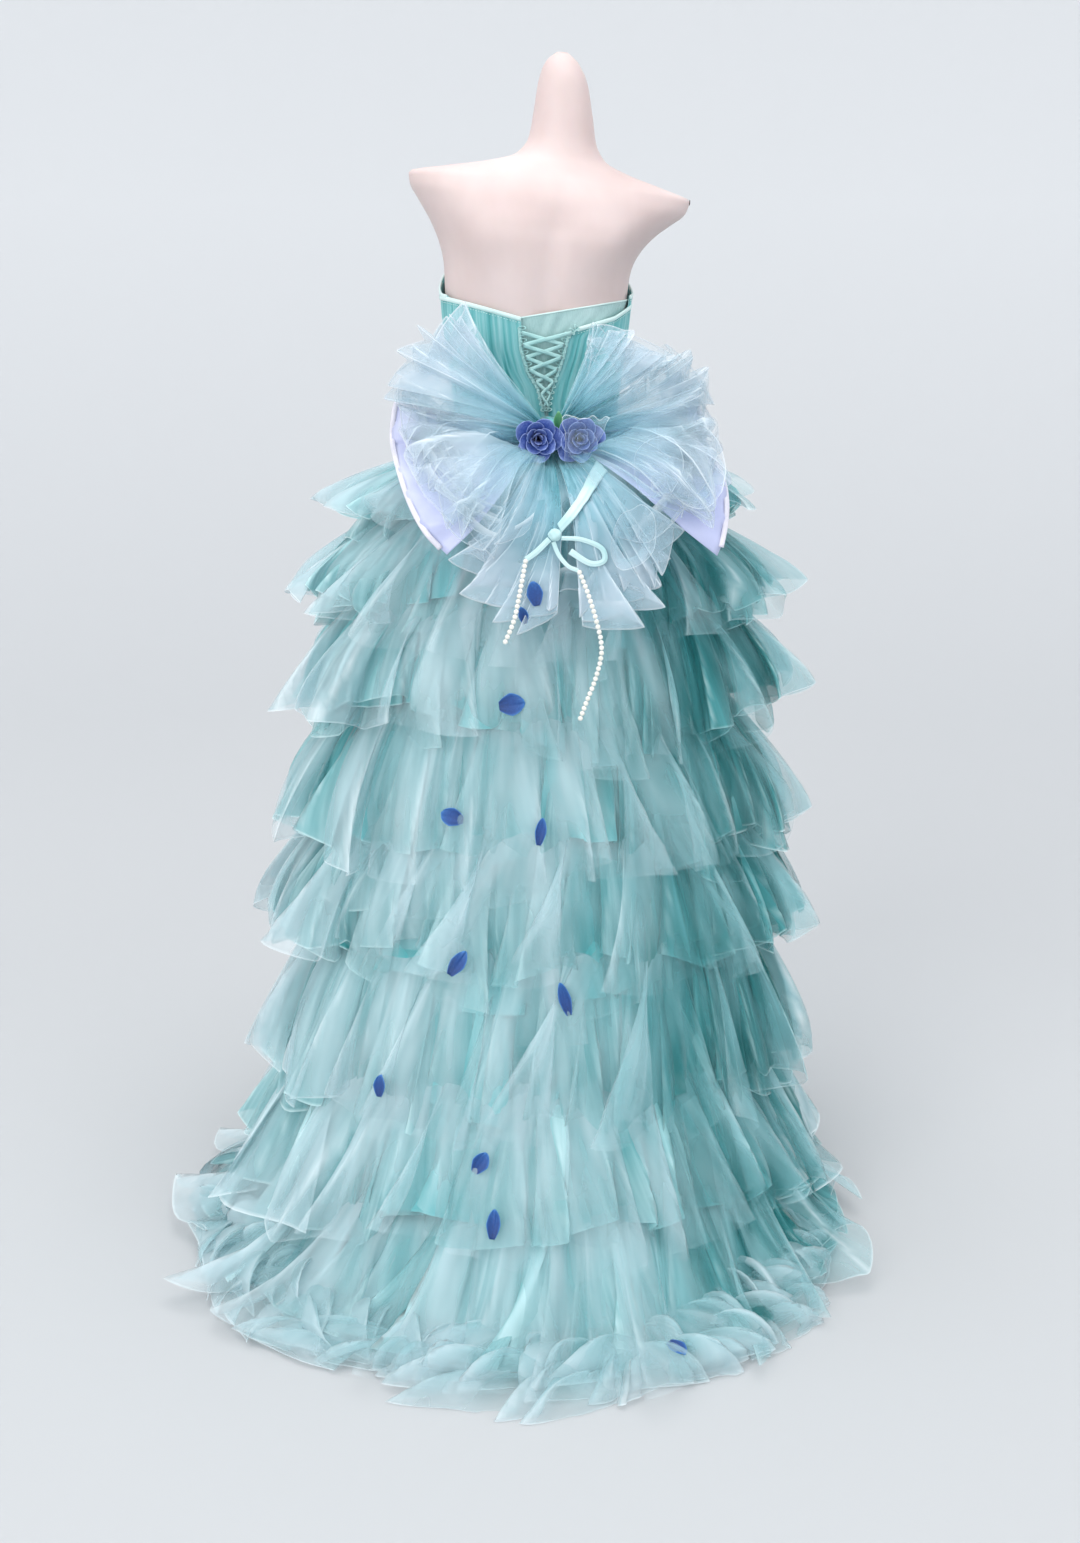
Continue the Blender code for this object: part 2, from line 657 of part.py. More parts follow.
def build_lacing():
    """Loop tapes along both edges and two ribbons that cross between them."""
    tape_out = BODICE_GAP + BODICE_WALL + SEAM + THIN_WALL / 2 + BODICE_PLEAT
    steps = 4 * LACE_CROSSINGS + 1
    for name, levels, edge, side in (
        ("loop_tape_left", LEFT_EDGE_LEVELS, LEFT_EDGE_X, 1),
        ("loop_tape_right", RIGHT_EDGE_LEVELS, RIGHT_EDGE_X, -1),
    ):
        grid = [[], []]
        for step in range(steps):
            z = blend(LACE_TOP_Z, LACE_LOW_Z, step / (steps - 1))
            x = ramp(levels, edge, z)
            narrow = min(1.0, abs(x - HUB_X) / 0.012)
            loop = LOOP_REACH * narrow * (0.15 + 0.85 * (step % 4 in (1, 2)))
            for row, place in ((0, x + side * 0.004), (1, x - side * loop * 0.5)):
                grid[row].append(form_point(angle_of_x(z, place), z, tape_out + spring(z)))
        cloth(name, grid, MATERIALS["mint_satin"], wall=THIN_WALL)
    for name, start_side, out in (
        ("lace_under", 1, tape_out + THIN_WALL + SEAM * 2),
        ("lace_over", -1, tape_out + 2 * THIN_WALL + SEAM * 4),
    ):
        turns = lace_turns(start_side)
        grid = [[], []]
        for number, (x, z) in enumerate(turns):
            side = start_side if number % 2 == 0 else -start_side
            inner_row, outer_row = (0, 1) if side > 0 else (1, 0)
            for step, half in ((-1, LACE_BLUNT), (1, -LACE_BLUNT)):
                if not 0 <= number + step < len(turns):
                    continue
                beside_x, beside_z = turns[number + step]
                slope = abs(beside_z - z) / abs(beside_x - x)
                inward = min((LACE_WIDTH / 2 + LACE_BLUNT) / slope, 0.45 * abs(beside_x - x))
                ends = number in (0, len(turns) - 1)
                if ends:
                    upper = LACE_WIDTH / 2 if (side > 0) == (step > 0) else -LACE_WIDTH / 2
                    grid[0].append(on_lace(x, z + upper, out))
                    grid[1].append(on_lace(x, z - upper, out))
                    continue
                grid[inner_row].append(on_lace(x - side * inward, z + half, out))
                grid[outer_row].append(on_lace(x, z - step * LACE_WIDTH / 2, out))
            if number < len(turns) - 1 and abs(turns[number + 1][0] - x) > LACE_BEND_WIDTH:
                next_x, next_z = turns[number + 1]
                middle_x, middle_z = (x + next_x) / 2, (z + next_z) / 2
                grid[0].append(on_lace(middle_x, middle_z + side * LACE_WIDTH / 2, out))
                grid[1].append(on_lace(middle_x, middle_z - side * LACE_WIDTH / 2, out))
        cloth(name, grid, MATERIALS["mint_satin"], wall=THIN_WALL)


def lace_turns(start_side):
    """Places where a lace turns, down the two edges by turns."""
    turns = []
    for number in range(LACE_CROSSINGS + 1):
        z = blend(LACE_TOP_Z, LACE_LOW_Z, number / LACE_CROSSINGS)
        left = start_side > 0 if number % 2 == 0 else start_side < 0
        levels, edge = (LEFT_EDGE_LEVELS, LEFT_EDGE_X) if left else (RIGHT_EDGE_LEVELS, RIGHT_EDGE_X)
        turns.append((ramp(levels, edge, z), z))
    return turns


def on_lace(x, z, out):
    """Point of a lace over the back."""
    return form_point(angle_of_x(z, x), z, out + spring(z))


# Skirt

def build_underskirt():
    """The plain satin skirt that carries the tiers."""
    grid = [[ring_point(row, math.tau * step / UNDERSKIRT_COLUMNS) for step in range(UNDERSKIRT_COLUMNS)]
            for row in UNDERSKIRT]
    cloth("underskirt", grid, MATERIALS["teal_satin"], closed=True)


def tier_grid(tier):
    """Points of one flounce: four to a wave, flat on its crest and in its trough."""
    chance = random.Random(tier.name)
    top = section_at(UNDERSKIRT, tier.top_z)
    step = SHELF_STEP if tier is TIERS[0] else TIER_STEP
    top = Section(tier.top_z, top.left + step, top.right + step, top.front + step,
                  top.back + step, top.centre)
    hem = Section(tier.hem_z, tier.left, tier.right, tier.front, tier.back, tier.centre)
    train = tier.hem_z == 0.0
    starts = [wave + chance.uniform(-0.16, 0.16) for wave in range(tier.waves)]
    crests = [chance.uniform(0.65, 1.0) for _ in range(tier.waves)]
    drops = [chance.uniform(-HEM_UNEVEN, HEM_UNEVEN) for _ in range(tier.waves)]
    grid = []
    for t in TRAIN_ROWS if train else TIER_ROWS:
        spread = 1 - (1 - t) ** tier.swell
        section = Section(*(blend(a, b, spread) for a, b in zip(top, hem)))
        row = []
        for wave in range(tier.waves):
            after = starts[(wave + 1) % tier.waves] + (tier.waves if wave + 1 == tier.waves else 0)
            for step in range(WAVE_POINTS):
                share = (step + 0.5) / WAVE_POINTS
                angle = math.tau * blend(starts[wave], after, share) / tier.waves
                crest = crests[wave] if step < WAVE_POINTS / 2 else -crests[wave]
                sideways = abs(math.cos(angle)) ** 1.5
                height = blend(tier.back_wave, tier.side_wave, sideways) * crest * t ** WAVE_GROWTH
                place = ring_point(section, angle, height)
                if train:
                    lie = (1 - t) ** TRAIN_LIE
                    place.z = tier.top_z * lie + TRAIN_LIFT * max(crest, 0.0) * t * (1.1 - t) * 2
                    place.z = max(place.z, WALL / 2 + FLOOR_GAP)
                else:
                    sag = tier.dip * math.sin(angle) ** 2
                    place.z = blend(tier.top_z, tier.hem_z + drops[wave] - sag, t)
                row.append(place)
        grid.append(row)
    return grid


def build_tiers():
    """The eight flounces. Returns each one's grid by name."""
    grids = {}
    for tier in TIERS:
        grids[tier.name] = tier_grid(tier)
        cloth(tier.name, grids[tier.name], MATERIALS["aqua_tulle"], closed=True)
    return grids


# Bow

def bustle_point(x, z, lift=0.0, lean=1.0, near=SLOPE_REACH):
    """Point on the back of the bustle, moved out: along +Y with no lean, along the normal with all."""

    def back(at_x, at_z):
        high = (BUSTLE_ROUND_TOP_Z - at_z) / (BUSTLE_ROUND_TOP_Z - BUSTLE_ROUND_LOW_Z)
        roundness = blend(BUSTLE_ROUND_HIGH, BUSTLE_ROUND_LOW, min(max(high, 0.0), 1.0))
        return ramp(BUSTLE_LEVELS, BUSTLE_BACKS, at_z) - roundness * at_x * at_x

    slope_x = (back(x + near, z) - back(x - near, z)) / (2 * near)
    slope_z = (back(x, z + near) - back(x, z - near)) / (2 * near)
    normal = Vector((-slope_x * lean, 1.0, -slope_z * lean)).normalized()
    return Vector((x, back(x, z), z)) + lift * normal


def fan_grid(fan):
    """Points of a pleated piece, spread from the bow's centre over the bustle."""
    chance = random.Random(fan.name)
    columns = fan.pleats * WAVE_POINTS + 1
    lean = FAN_LEAN if fan.finish == "bow_tulle" else 1.0
    near = FAN_SLOPE_REACH if fan.name in SMOOTHED_FANS else SLOPE_REACH
    rims = [1 + chance.uniform(-FAN_RAGGED, FAN_RAGGED) for _ in range(fan.pleats + 1)]
    grid = []
    for out in FAN_ROWS:
        row = []
        for column in range(columns):
            share = column / (columns - 1)
            angle = math.radians(blend(fan.start_deg, fan.end_deg, share))
            bend = 4 * share * (1 - share)
            reach = blend(blend(fan.start_reach, fan.end_reach, share), fan.middle_reach, bend)
            reach *= rims[column // WAVE_POINTS]
            inner = HUB_RADIUS + FAN_CLEAR
            distance = blend(inner, reach, out)
            crest = 1 if column % WAVE_POINTS in (0, 1) else -1
            lift = fan.lift + crest * fan.pleat * out
            row.append(bustle_point(HUB_X + distance * math.cos(angle),
                                    HUB_Z + distance * math.sin(angle), lift, lean * out, near))
        grid.append(row)
    return grid


def build_bow():
    """The gathered centre and the pieces that spread from it. Returns each piece's grid."""
    deep = HUB_BACK_Y - HUB_FRONT_Y
    profile = (
        (0.0, deep), (HUB_RADIUS * 0.8, deep), (HUB_RADIUS, deep * 0.9),
        (HUB_RADIUS, deep * 0.12), (HUB_RADIUS * 0.6, 0.0), (0.0, 0.0),
    )
    centre = turned("bow_centre", profile, 16, MATERIALS["bow_tulle"])
    centre.location = (HUB_X, HUB_FRONT_Y, HUB_Z)
    centre.rotation_euler = (-math.pi / 2, 0.0, 0.0)
    grids = {}
    for fan in FANS:
        grids[fan.name] = fan_grid(fan)
        cloth(fan.name, grids[fan.name], MATERIALS[fan.finish])
    return grids


# Trims

def ribbon(name, places, start_width, end_width, start_lift=RIBBON_LIFT):
    """A flat ribbon over the bustle through (x, z) places, its width level with the surface."""
    route = smooth_route([Vector((x, 0.0, z)) for x, z in places], 3 * len(places) - 2)
    grid = [[], []]
    for index, place in enumerate(route):
        before = route[max(index - 1, 0)]
        after = route[min(index + 1, len(route) - 1)]
        along = (after - before).normalized()
        share = index / (len(route) - 1)
        width = blend(start_width, end_width, share)
        lift = blend(start_lift, RIBBON_LIFT, share)
        across = Vector((-along.z, 0.0, along.x)) * width / 2
        for row, side in ((0, 1), (1, -1)):
            point = place + side * across
            grid[row].append(bustle_point(point.x, point.z, lift))
    return cloth(name, grid, MATERIALS["bow_tulle"], wall=THIN_WALL)


def build_ribbon():
    """The tied ribbon: band, knot, loop and two ends."""
    knot_x, knot_z = KNOT_PLACE
    middle = bustle_point(knot_x, knot_z, RIBBON_LIFT)
    bpy.ops.mesh.primitive_uv_sphere_add(segments=12, ring_count=8, radius=KNOT_RADIUS, location=middle)
    knot = bpy.context.object
    knot.name = "ribbon_knot"
    knot.data.materials.append(MATERIALS["bow_tulle"])
    knot.data.shade_smooth()
    for holder in list(knot.users_collection):
        holder.objects.unlink(knot)
    GOWN.objects.link(knot)
    ribbon("ribbon_band", BAND_ROUTE, 0.015, 0.008, BAND_LIFT)
    ribbon("ribbon_loop", LOOP_ROUTE, 0.005, 0.008)
    ribbon("ribbon_end_left", LEFT_END_ROUTE, 0.007, 0.007)
    ribbon("ribbon_end_right", RIGHT_END_ROUTE, 0.005, 0.005)


def build_pearls():
    """Two hanging strings, each a plain tube as thick as its pearls."""
    for name, places in PEARL_ROUTES.items():
        hand = [Vector(place) for place in places]
        length = sum((b - a).length for a, b in zip(hand, hand[1:]))
        route = smooth_route(hand, max(6, round(length / (2 * PEARL_DIAMETER))))
        curve = bpy.data.curves.new(name, "CURVE")
        curve.dimensions = "3D"
        curve.bevel_depth = PEARL_DIAMETER / 2
        curve.bevel_resolution = 2
        curve.use_fill_caps = True
        spline = curve.splines.new("POLY")
        spline.points.add(len(route) - 1)
        for point, place in zip(spline.points, route):
            point.co = (*place, 1.0)
        curve.materials.append(MATERIALS["pearl"])
        GOWN.objects.link(bpy.data.objects.new(name, curve))


def build_roses():
    """Two cloth roses, turned in rings of petals round a bud, and a leaf between them."""
    profile = [(radius, share * ROSE_HEIGHT) for radius, share in ROSE_PROFILE]
    seat_y = HUB_BACK_Y + SEAM
    for name, x, z in ROSES:
        rose = turned(name, profile, 12, MATERIALS["blue_cloth"])
        rose.location = (x, seat_y, z)
        rose.rotation_euler = (-math.pi / 2, 0.0, 0.0)
    grid = []
    for row in range(4):
        share = row / 3
        half = LEAF_HALF_WIDTH * math.sin(math.pi * blend(0.15, 0.95, share))
        middle = Vector((LEAF_X, seat_y + THIN_WALL / 2 + 0.004 * share, LEAF_Z + LEAF_LENGTH * share))
        grid.append([middle + Vector((half * side, 0.0, 0.0)) for side in (1, 0, -1)])
    cloth("leaf", grid, MATERIALS["leaf_green"], wall=THIN_WALL)


def petal_point(tree, petal, across, along):
    """Point of a petal, dropped on its carrier's surface and moved out."""
    turn = math.radians(petal.turn_deg)
    side = across * math.cos(turn) - along * math.sin(turn)
    up = across * math.sin(turn) + along * math.cos(turn)
    lift = WALL / 2 + PETAL_LIFT + PETAL_WALL / 2
    if petal.carrier == "tier_8":
        start = Vector((petal.x + side, petal.height + up, 1.0))
        place, normal, _, _ = tree.ray_cast(start, Vector((0.0, 0.0, -1.0)))
        return place + lift * (normal if normal.z > 0 else -normal)
    start = Vector((petal.x + side, 2.0, petal.height + up))
    place, normal, _, _ = tree.ray_cast(start, Vector((0.0, -1.0, 0.0)))
    outward = normal if normal.y > 0 else -normal
    return place + lift * (outward + Vector((0.0, PETAL_STRAIGHT, 0.0))).normalized()


def build_petals(grids):
    """Loose petals, each made from points of the cloth it lies on."""
    trees = {}
    for number, petal in enumerate(PETALS, 1):
        grid = grids[petal.carrier]
        if petal.carrier not in trees:
            points = [point for row in grid for point in row]
            closed = petal.carrier.startswith("tier")
            faces = grid_faces(len(grid), len(grid[0]), closed)
            trees[petal.carrier] = BVHTree.FromPolygons(points, faces)
        rows = []
        for row in range(PETAL_ROWS):
            share = row / (PETAL_ROWS - 1)
            half = petal.width / 2 * max(PETAL_TIP, math.sin(math.pi * share) ** 0.7)
            along = petal.length * (share - 0.5)
            rows.append([petal_point(trees[petal.carrier], petal, half * side, along)
                         for side in (1, 0, -1)])
        cloth(f"petal_{number:02d}", rows, MATERIALS["blue_cloth"], wall=PETAL_WALL)


clear_scene()
GOWN = bpy.data.collections.new("tiered_gown_on_form")
bpy.context.scene.collection.children.link(GOWN)
MATERIALS = make_materials()
build_form()
build_stand()
build_bodice()
build_bindings()
build_lacing()
build_underskirt()
CLOTH_GRIDS = build_tiers()
CLOTH_GRIDS.update(build_bow())
build_ribbon()
build_pearls()
build_roses()
build_petals(CLOTH_GRIDS)
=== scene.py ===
"""Tiered net gown on a limbless dress form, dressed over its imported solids.

Metres, +Z up. The gown's front faces -Y and its laced back faces +Y. Angles round the
gown start at +X, the wearer's left, and turn through +Y, the back.
"""

import logging
import math
import random
from dataclasses import dataclass, field, replace
from enum import Enum
from typing import Callable, Optional, Sequence

import bmesh
import bpy
import numpy as np
from mathutils import Matrix, Vector
from mathutils.bvhtree import BVHTree


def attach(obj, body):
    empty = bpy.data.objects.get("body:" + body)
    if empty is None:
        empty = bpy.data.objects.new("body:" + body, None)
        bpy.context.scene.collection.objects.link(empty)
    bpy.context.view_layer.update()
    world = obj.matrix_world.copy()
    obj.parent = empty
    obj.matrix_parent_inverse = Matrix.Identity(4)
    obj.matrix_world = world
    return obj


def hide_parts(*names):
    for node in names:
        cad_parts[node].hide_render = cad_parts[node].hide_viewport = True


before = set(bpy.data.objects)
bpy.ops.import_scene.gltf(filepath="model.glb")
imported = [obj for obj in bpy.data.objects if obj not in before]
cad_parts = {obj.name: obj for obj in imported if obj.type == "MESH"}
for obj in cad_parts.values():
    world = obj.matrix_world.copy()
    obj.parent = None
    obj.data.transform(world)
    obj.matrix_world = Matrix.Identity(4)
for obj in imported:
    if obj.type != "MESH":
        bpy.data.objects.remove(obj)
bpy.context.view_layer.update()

LOG = logging.getLogger("gown")
Colour = tuple[float, float, float]
Inputs = dict[str, float]
Marks = dict[str, object]
Array = np.ndarray
Piece = bpy.types.Object
Material = bpy.types.Material
Socket = bpy.types.NodeSocket

PHOTO_WIDTH = 1080
PHOTO_HEIGHT = 1543
TAU = math.tau


class Held(Enum):
    """How a sheet of cloth is carried."""

    GATHERED = "gathered"
    DRAPED = "draped"
    STRETCHED = "stretched"
    LAID = "laid"


class Slot(Enum):
    """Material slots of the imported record."""

    FORM = "form_shell"
    BODICE = "aqua_satin"
    MINT = "mint_satin"
    BINDING = "pale_binding"
    TEAL = "teal_satin"
    TULLE = "aqua_tulle"
    BOW = "bow_tulle"
    LILAC = "lilac_satin"
    PEARL = "pearl"
    BLUE = "blue_cloth"
    LEAF = "leaf_green"


# Shapes worked out from named sizes


@dataclass(frozen=True)
class Section:
    """A level ring: half widths to +X and -X, reach to -Y and +Y, and the y of its widest place."""

    z: float
    left: float
    right: float
    front: float
    back: float
    centre: float


@dataclass(frozen=True)
class Tier:
    """One gathered flounce, as its solid has it."""

    name: str
    top_z: float
    hem_z: float
    left: float
    right: float
    front: float
    back: float
    centre: float
    swell: float
    side_wave: float
    back_wave: float
    dip: float
    waves: int
    hang: float
    side_drop: float


@dataclass(frozen=True)
class Fan:
    """A gathered piece of the bow, spread between two angles seen from behind."""

    name: str
    start_deg: float
    end_deg: float
    start_reach: float
    middle_reach: float
    end_reach: float
    lift: float
    pleat: float
    pleats: int

    def angle_at(self, share: Array) -> Array:
        """The angle at a share of the way from its first edge to its last."""
        return math.radians(self.start_deg) + math.radians(self.end_deg - self.start_deg) * share

    def reach_at(self, share: Array) -> Array:
        """How far it reaches at that share."""
        return (self.start_reach * (1 - share) * (1 - 2 * share) + 4 * self.middle_reach * share * (1 - share)
                + self.end_reach * share * (2 * share - 1))


@dataclass(frozen=True)
class Curl:
    """A strip of net that curls round into an open loop on the bow."""

    name: str
    x: float
    z: float
    wide: float
    tall: float
    depth: float
    turn_deg: float


@dataclass(frozen=True)
class Layer:
    """One layer of net in a flounce.

    reach runs from 0, on the underskirt, to 1, the flounce's full spread. hug draws it in
    at the middle of the back, where fade dims the painted highlight on its hem. cover_top
    and cover_hem are how dense it looks at its gathered top and near its hem.
    """

    name: str
    reach: float
    gain: float
    steep: float
    crease: float
    hug: float
    fade: float
    extra: float
    cover_top: float
    cover_hem: float
    tone: float
    columns: int
    rows: int
    folds: float
    gather: float
    stiff: float


UNDERSKIRT = (
    Section(1.082, 0.1175, 0.1175, 0.0945, 0.1060, 0.00),
    Section(1.062, 0.1195, 0.1195, 0.0965, 0.1080, 0.00),
    Section(1.035, 0.155, 0.155, 0.130, 0.150, 0.00),
    Section(1.000, 0.188, 0.188, 0.165, 0.190, 0.00),
    Section(0.900, 0.214, 0.214, 0.203, 0.233, 0.00),
    Section(0.760, 0.234, 0.234, 0.223, 0.258, 0.00),
    Section(0.620, 0.252, 0.250, 0.236, 0.283, 0.01),
    Section(0.470, 0.280, 0.275, 0.258, 0.313, 0.03),
    Section(0.290, 0.300, 0.292, 0.282, 0.348, 0.05),
    Section(0.120, 0.328, 0.318, 0.307, 0.398, 0.08),
    Section(0.025, 0.335, 0.325, 0.315, 0.420, 0.09),
)
TIERS = (
    Tier("tier_1", 1.078, 1.045, 0.296, 0.306, 0.250, 0.285, 0.02, 2.0, 0.020, 0.014, 0.045, 14, 0.9, 0.055),
    Tier("tier_2", 1.000, 0.895, 0.330, 0.348, 0.285, 0.325, 0.02, 2.0, 0.026, 0.015, 0.030, 15, 1.0, 0.02),
    Tier("tier_3", 0.905, 0.748, 0.350, 0.362, 0.303, 0.350, 0.02, 2.0, 0.028, 0.015, 0.020, 16, 1.0, 0.01),
    Tier("tier_4", 0.760, 0.565, 0.376, 0.372, 0.322, 0.375, 0.03, 2.0, 0.028, 0.015, 0.010, 16, 1.0, 0.0),
    Tier("tier_5", 0.620, 0.415, 0.385, 0.380, 0.338, 0.402, 0.04, 1.9, 0.028, 0.015, 0.005, 17, 0.95, 0.0),
    Tier("tier_6", 0.470, 0.225, 0.396, 0.378, 0.352, 0.440, 0.07, 1.7, 0.028, 0.016, 0.0, 17, 0.85, 0.0),
    Tier("tier_7", 0.290, 0.085, 0.458, 0.388, 0.372, 0.515, 0.15, 1.0, 0.030, 0.018, 0.0, 17, 0.55, 0.0),
    Tier("tier_8", 0.115, 0.000, 0.520, 0.420, 0.400, 0.725, 0.20, 1.0, 0.018, 0.016, 0.0, 18, 0.08, 0.0),
)
LAYERS = (
    Layer("lining", 0.40, 0.55, 1.6, 0.008, 0.80, 0.9, 0.000, 1.00, 0.95, -0.22, 340, 10, 3.0, 1.0, 1.0),
    Layer("veil", 0.80, 0.95, 2.2, 0.012, 0.80, 0.9, 0.004, 0.90, 0.55, 0.10, 520, 14, 3.0, 0.8, 0.85),
    Layer("drift", 0.74, 1.10, 2.6, 0.020, 0.66, 0.8, 0.052, 0.50, 0.34, 0.22, 440, 13, 2.0, 0.5, 0.80),
    Layer("film", 1.00, 1.15, 3.0, 0.030, 0.22, 0.9, 0.012, 0.46, 0.28, 0.32, 500, 15, 1.5, 0.4, 0.78),
)
BUSTLE_LEVELS = (1.30, 1.08, 1.055, 1.03, 1.00, 0.95, 0.90, 0.86, 0.80)
BUSTLE_BACKS = (0.130, 0.136, 0.228, 0.290, 0.318, 0.326, 0.338, 0.350, 0.358)
TULLE_FANS = (
    Fan("fan_upper_left", 12, 49, 0.226, 0.236, 0.214, 0.021, 0.013, 4),
    Fan("fan_over_left", -48, 10, 0.178, 0.200, 0.212, 0.020, 0.009, 4),
    Fan("fan_upper_right", 113, 148, 0.168, 0.182, 0.190, 0.020, 0.013, 4),
    Fan("fan_outer_right", 150, 177, 0.222, 0.236, 0.232, 0.020, 0.012, 3),
    Fan("fan_over_right", 178, 212, 0.235, 0.238, 0.205, 0.022, 0.0045, 4),
)
TAIL_FANS = (
    Fan("tail_left", -86, -49, 0.250, 0.245, 0.200, 0.010, 0.005, 3),
    Fan("tail_right", -141, -94, 0.200, 0.238, 0.262, 0.010, 0.005, 4),
)
SATIN_FANS = (
    Fan("satin_left", -43, 11, 0.204, 0.210, 0.205, 0.004, 0.0015, 2),
    Fan("satin_right", 168, 217, 0.205, 0.222, 0.245, 0.004, 0.0015, 2),
)
CURLS = (
    Curl("curl_side", -0.166, 1.046, 0.044, 0.040, 0.046, -30.0),
    Curl("curl_near", -0.118, 1.036, 0.034, 0.020, 0.040, -20.0),
    Curl("curl_low", -0.082, 0.978, 0.026, 0.034, 0.034, 20.0),
    Curl("curl_high", 0.150, 1.136, 0.042, 0.026, 0.034, 25.0),
)
LOOSE_FANS = (
    Fan("pouf_side_right", 163, 204, 0.200, 0.228, 0.190, 0.030, 0.050, 3),
    Fan("pouf_low_right", 204, 244, 0.150, 0.190, 0.150, 0.026, 0.030, 3),
    Fan("pouf_low_left", -66, -22, 0.140, 0.182, 0.165, 0.026, 0.024, 3),
    Fan("pouf_side_left", -24, 22, 0.150, 0.172, 0.160, 0.030, 0.034, 3),
    Fan("pouf_high_right", 118, 160, 0.120, 0.160, 0.150, 0.030, 0.026, 3),
    Fan("pouf_high_left", 14, 49, 0.150, 0.168, 0.140, 0.030, 0.024, 3),
    Fan("pouf_low_centre", 236, 304, 0.190, 0.215, 0.190, 0.004, 0.006, 5),
    Fan("veil_left", -52, 52, 0.190, 0.222, 0.200, 0.034, 0.034, 6),
    Fan("veil_right", 118, 216, 0.170, 0.236, 0.200, 0.034, 0.040, 6),
)
HUB = Vector((-0.005, 0.204, 1.102))
HUB_RADIUS = 0.021
HUB_FRONT_Y = 0.1026
FAN_ROOT = HUB_RADIUS + 0.0012
SKIRT_TOP_Z = 1.082
SKIRT_START = -math.pi / 2
CORE_LOW_Z = 0.025
FLOOR_GAP = 0.0016
HEM_GAP = 0.004
FINE_FOLDS = 118
FRILL_FOLDS = 170
NARROWEST_SHEET = 0.010
SPIRAL_DEG = 137.5
PETAL_WALL = 0.0005
SATIN_WALL = 0.0006
RIBBON_WALL = 0.0007
PANEL_WALL = 0.0008
BODICE_WALL = 0.0012


def blend(first: Array, second: Array, share: Array) -> Array:
    """Values between two others, single or in arrays."""
    return first + (second - first) * share


def smoothstep(values: Array) -> Array:
    """Values held between 0 and 1 and eased at both ends."""
    held = np.clip(values, 0.0, 1.0)
    return held * held * (3.0 - 2.0 * held)


def rising(levels: Sequence[float], values: Sequence[float], at: Array) -> Array:
    """Read a table whose levels fall or rise.

    Args:
        levels: The table's levels, in order.
        values: The value at each level.
        at: Where to read it.

    Returns:
        The values there, held past the ends.
    """
    order = np.argsort(levels)
    return np.interp(at, np.asarray(levels)[order], np.asarray(values)[order])


def eased(levels: Sequence[float], values: Sequence[float], at: Array) -> Array:
    """Read a table along a smooth curve that never overshoots its values.

    Args:
        levels: Rising levels.
        values: The value at each level.
        at: Where to read it.

    Returns:
        The values there.
    """
    x = np.asarray(levels, float)
    y = np.asarray(values, float)
    step = np.diff(x)
    slope = np.diff(y) / step
    tangent = np.zeros_like(y)
    tangent[1:-1] = np.where(slope[1:] * slope[:-1] > 0,
                             2 * slope[1:] * slope[:-1] / (slope[1:] + slope[:-1] + 1e-12), 0.0)
    tangent[0], tangent[-1] = slope[0], slope[-1]
    at = np.clip(at, x[0], x[-1])
    index = np.clip(np.searchsorted(x, at) - 1, 0, len(x) - 2)
    t = (at - x[index]) / step[index]
    return ((2 * t ** 3 - 3 * t ** 2 + 1) * y[index]
            + (t ** 3 - 2 * t ** 2 + t) * step[index] * tangent[index]
            + (3 * t ** 2 - 2 * t ** 3) * y[index + 1]
            + (t ** 3 - t ** 2) * step[index] * tangent[index + 1])


def ring_noise(turns: Array, knots: int, chance: np.random.Generator) -> Array:
    """Smooth noise from -1 to 1 that closes on itself.

    Args:
        turns: Places along the ring, one turn to each whole number.
        knots: How many random values there are in one turn.
        chance: Where the values come from.

    Returns:
        The noise at those places.
    """
    values = chance.uniform(-1.0, 1.0, knots)
    place = (turns % 1.0) * knots
    index = np.floor(place).astype(int)
    share = smoothstep(place - index)
    return values[index % knots] * (1 - share) + values[(index + 1) % knots] * share


@dataclass(frozen=True)
class Folds:
    """Unequal folds round a ring: where each starts, its width, depth and sideways lean."""

    starts: Array
    widths: Array
    depths: Array
    leans: Array

    def read(self, turns: Array) -> tuple[Array, Array, Array]:
        """Height from 0 to 1, sideways shift in turns, and closeness to the crest."""
        place = turns % 1.0
        index = np.clip(np.searchsorted(self.starts, place, side="right") - 1, 0, len(self.starts) - 1)
        share = (place - self.starts[index]) / self.widths[index]
        crest = 1.0 - np.abs(2.0 * share - 1.0)
        rounded = 0.55 * crest + 0.45 * smoothstep(crest)
        return rounded * self.depths[index], self.leans[index] * self.widths[index] * rounded, crest


def ring_folds(count: int, lean: float, chance: np.random.Generator) -> Folds:
    """Random folds that lean the same way in runs of three.

    Args:
        count: How many folds go round.
        lean: How far a crest leans at most, in its own widths.
        chance: Where the random values come from.

    Returns:
        The folds.
    """
    widths = chance.uniform(0.5, 1.6, count)
    widths /= widths.sum()
    ways = np.repeat(chance.choice([-1.0, 1.0], count // 3 + 1), 3)[:count]
    return Folds(np.concatenate([[0.0], np.cumsum(widths)[:-1]]), widths, chance.uniform(0.35, 1.0, count),
                 ways * chance.uniform(0.25, 1.0, count) * lean)


def core_section(z: Array) -> dict[str, Array]:
    """The underskirt's sizes at heights."""
    levels = [row.z for row in UNDERSKIRT][::-1]
    return {name: eased(levels, [getattr(row, name) for row in UNDERSKIRT][::-1], z)
            for name in ("left", "right", "front", "back", "centre")}


def spaced(columns: int, rows: int) -> tuple[Array, Array]:
    """Shares from 0 to 1 across a grid and down it."""
    return np.linspace(0.0, 1.0, columns)[None, :], np.linspace(0.0, 1.0, rows)[:, None]


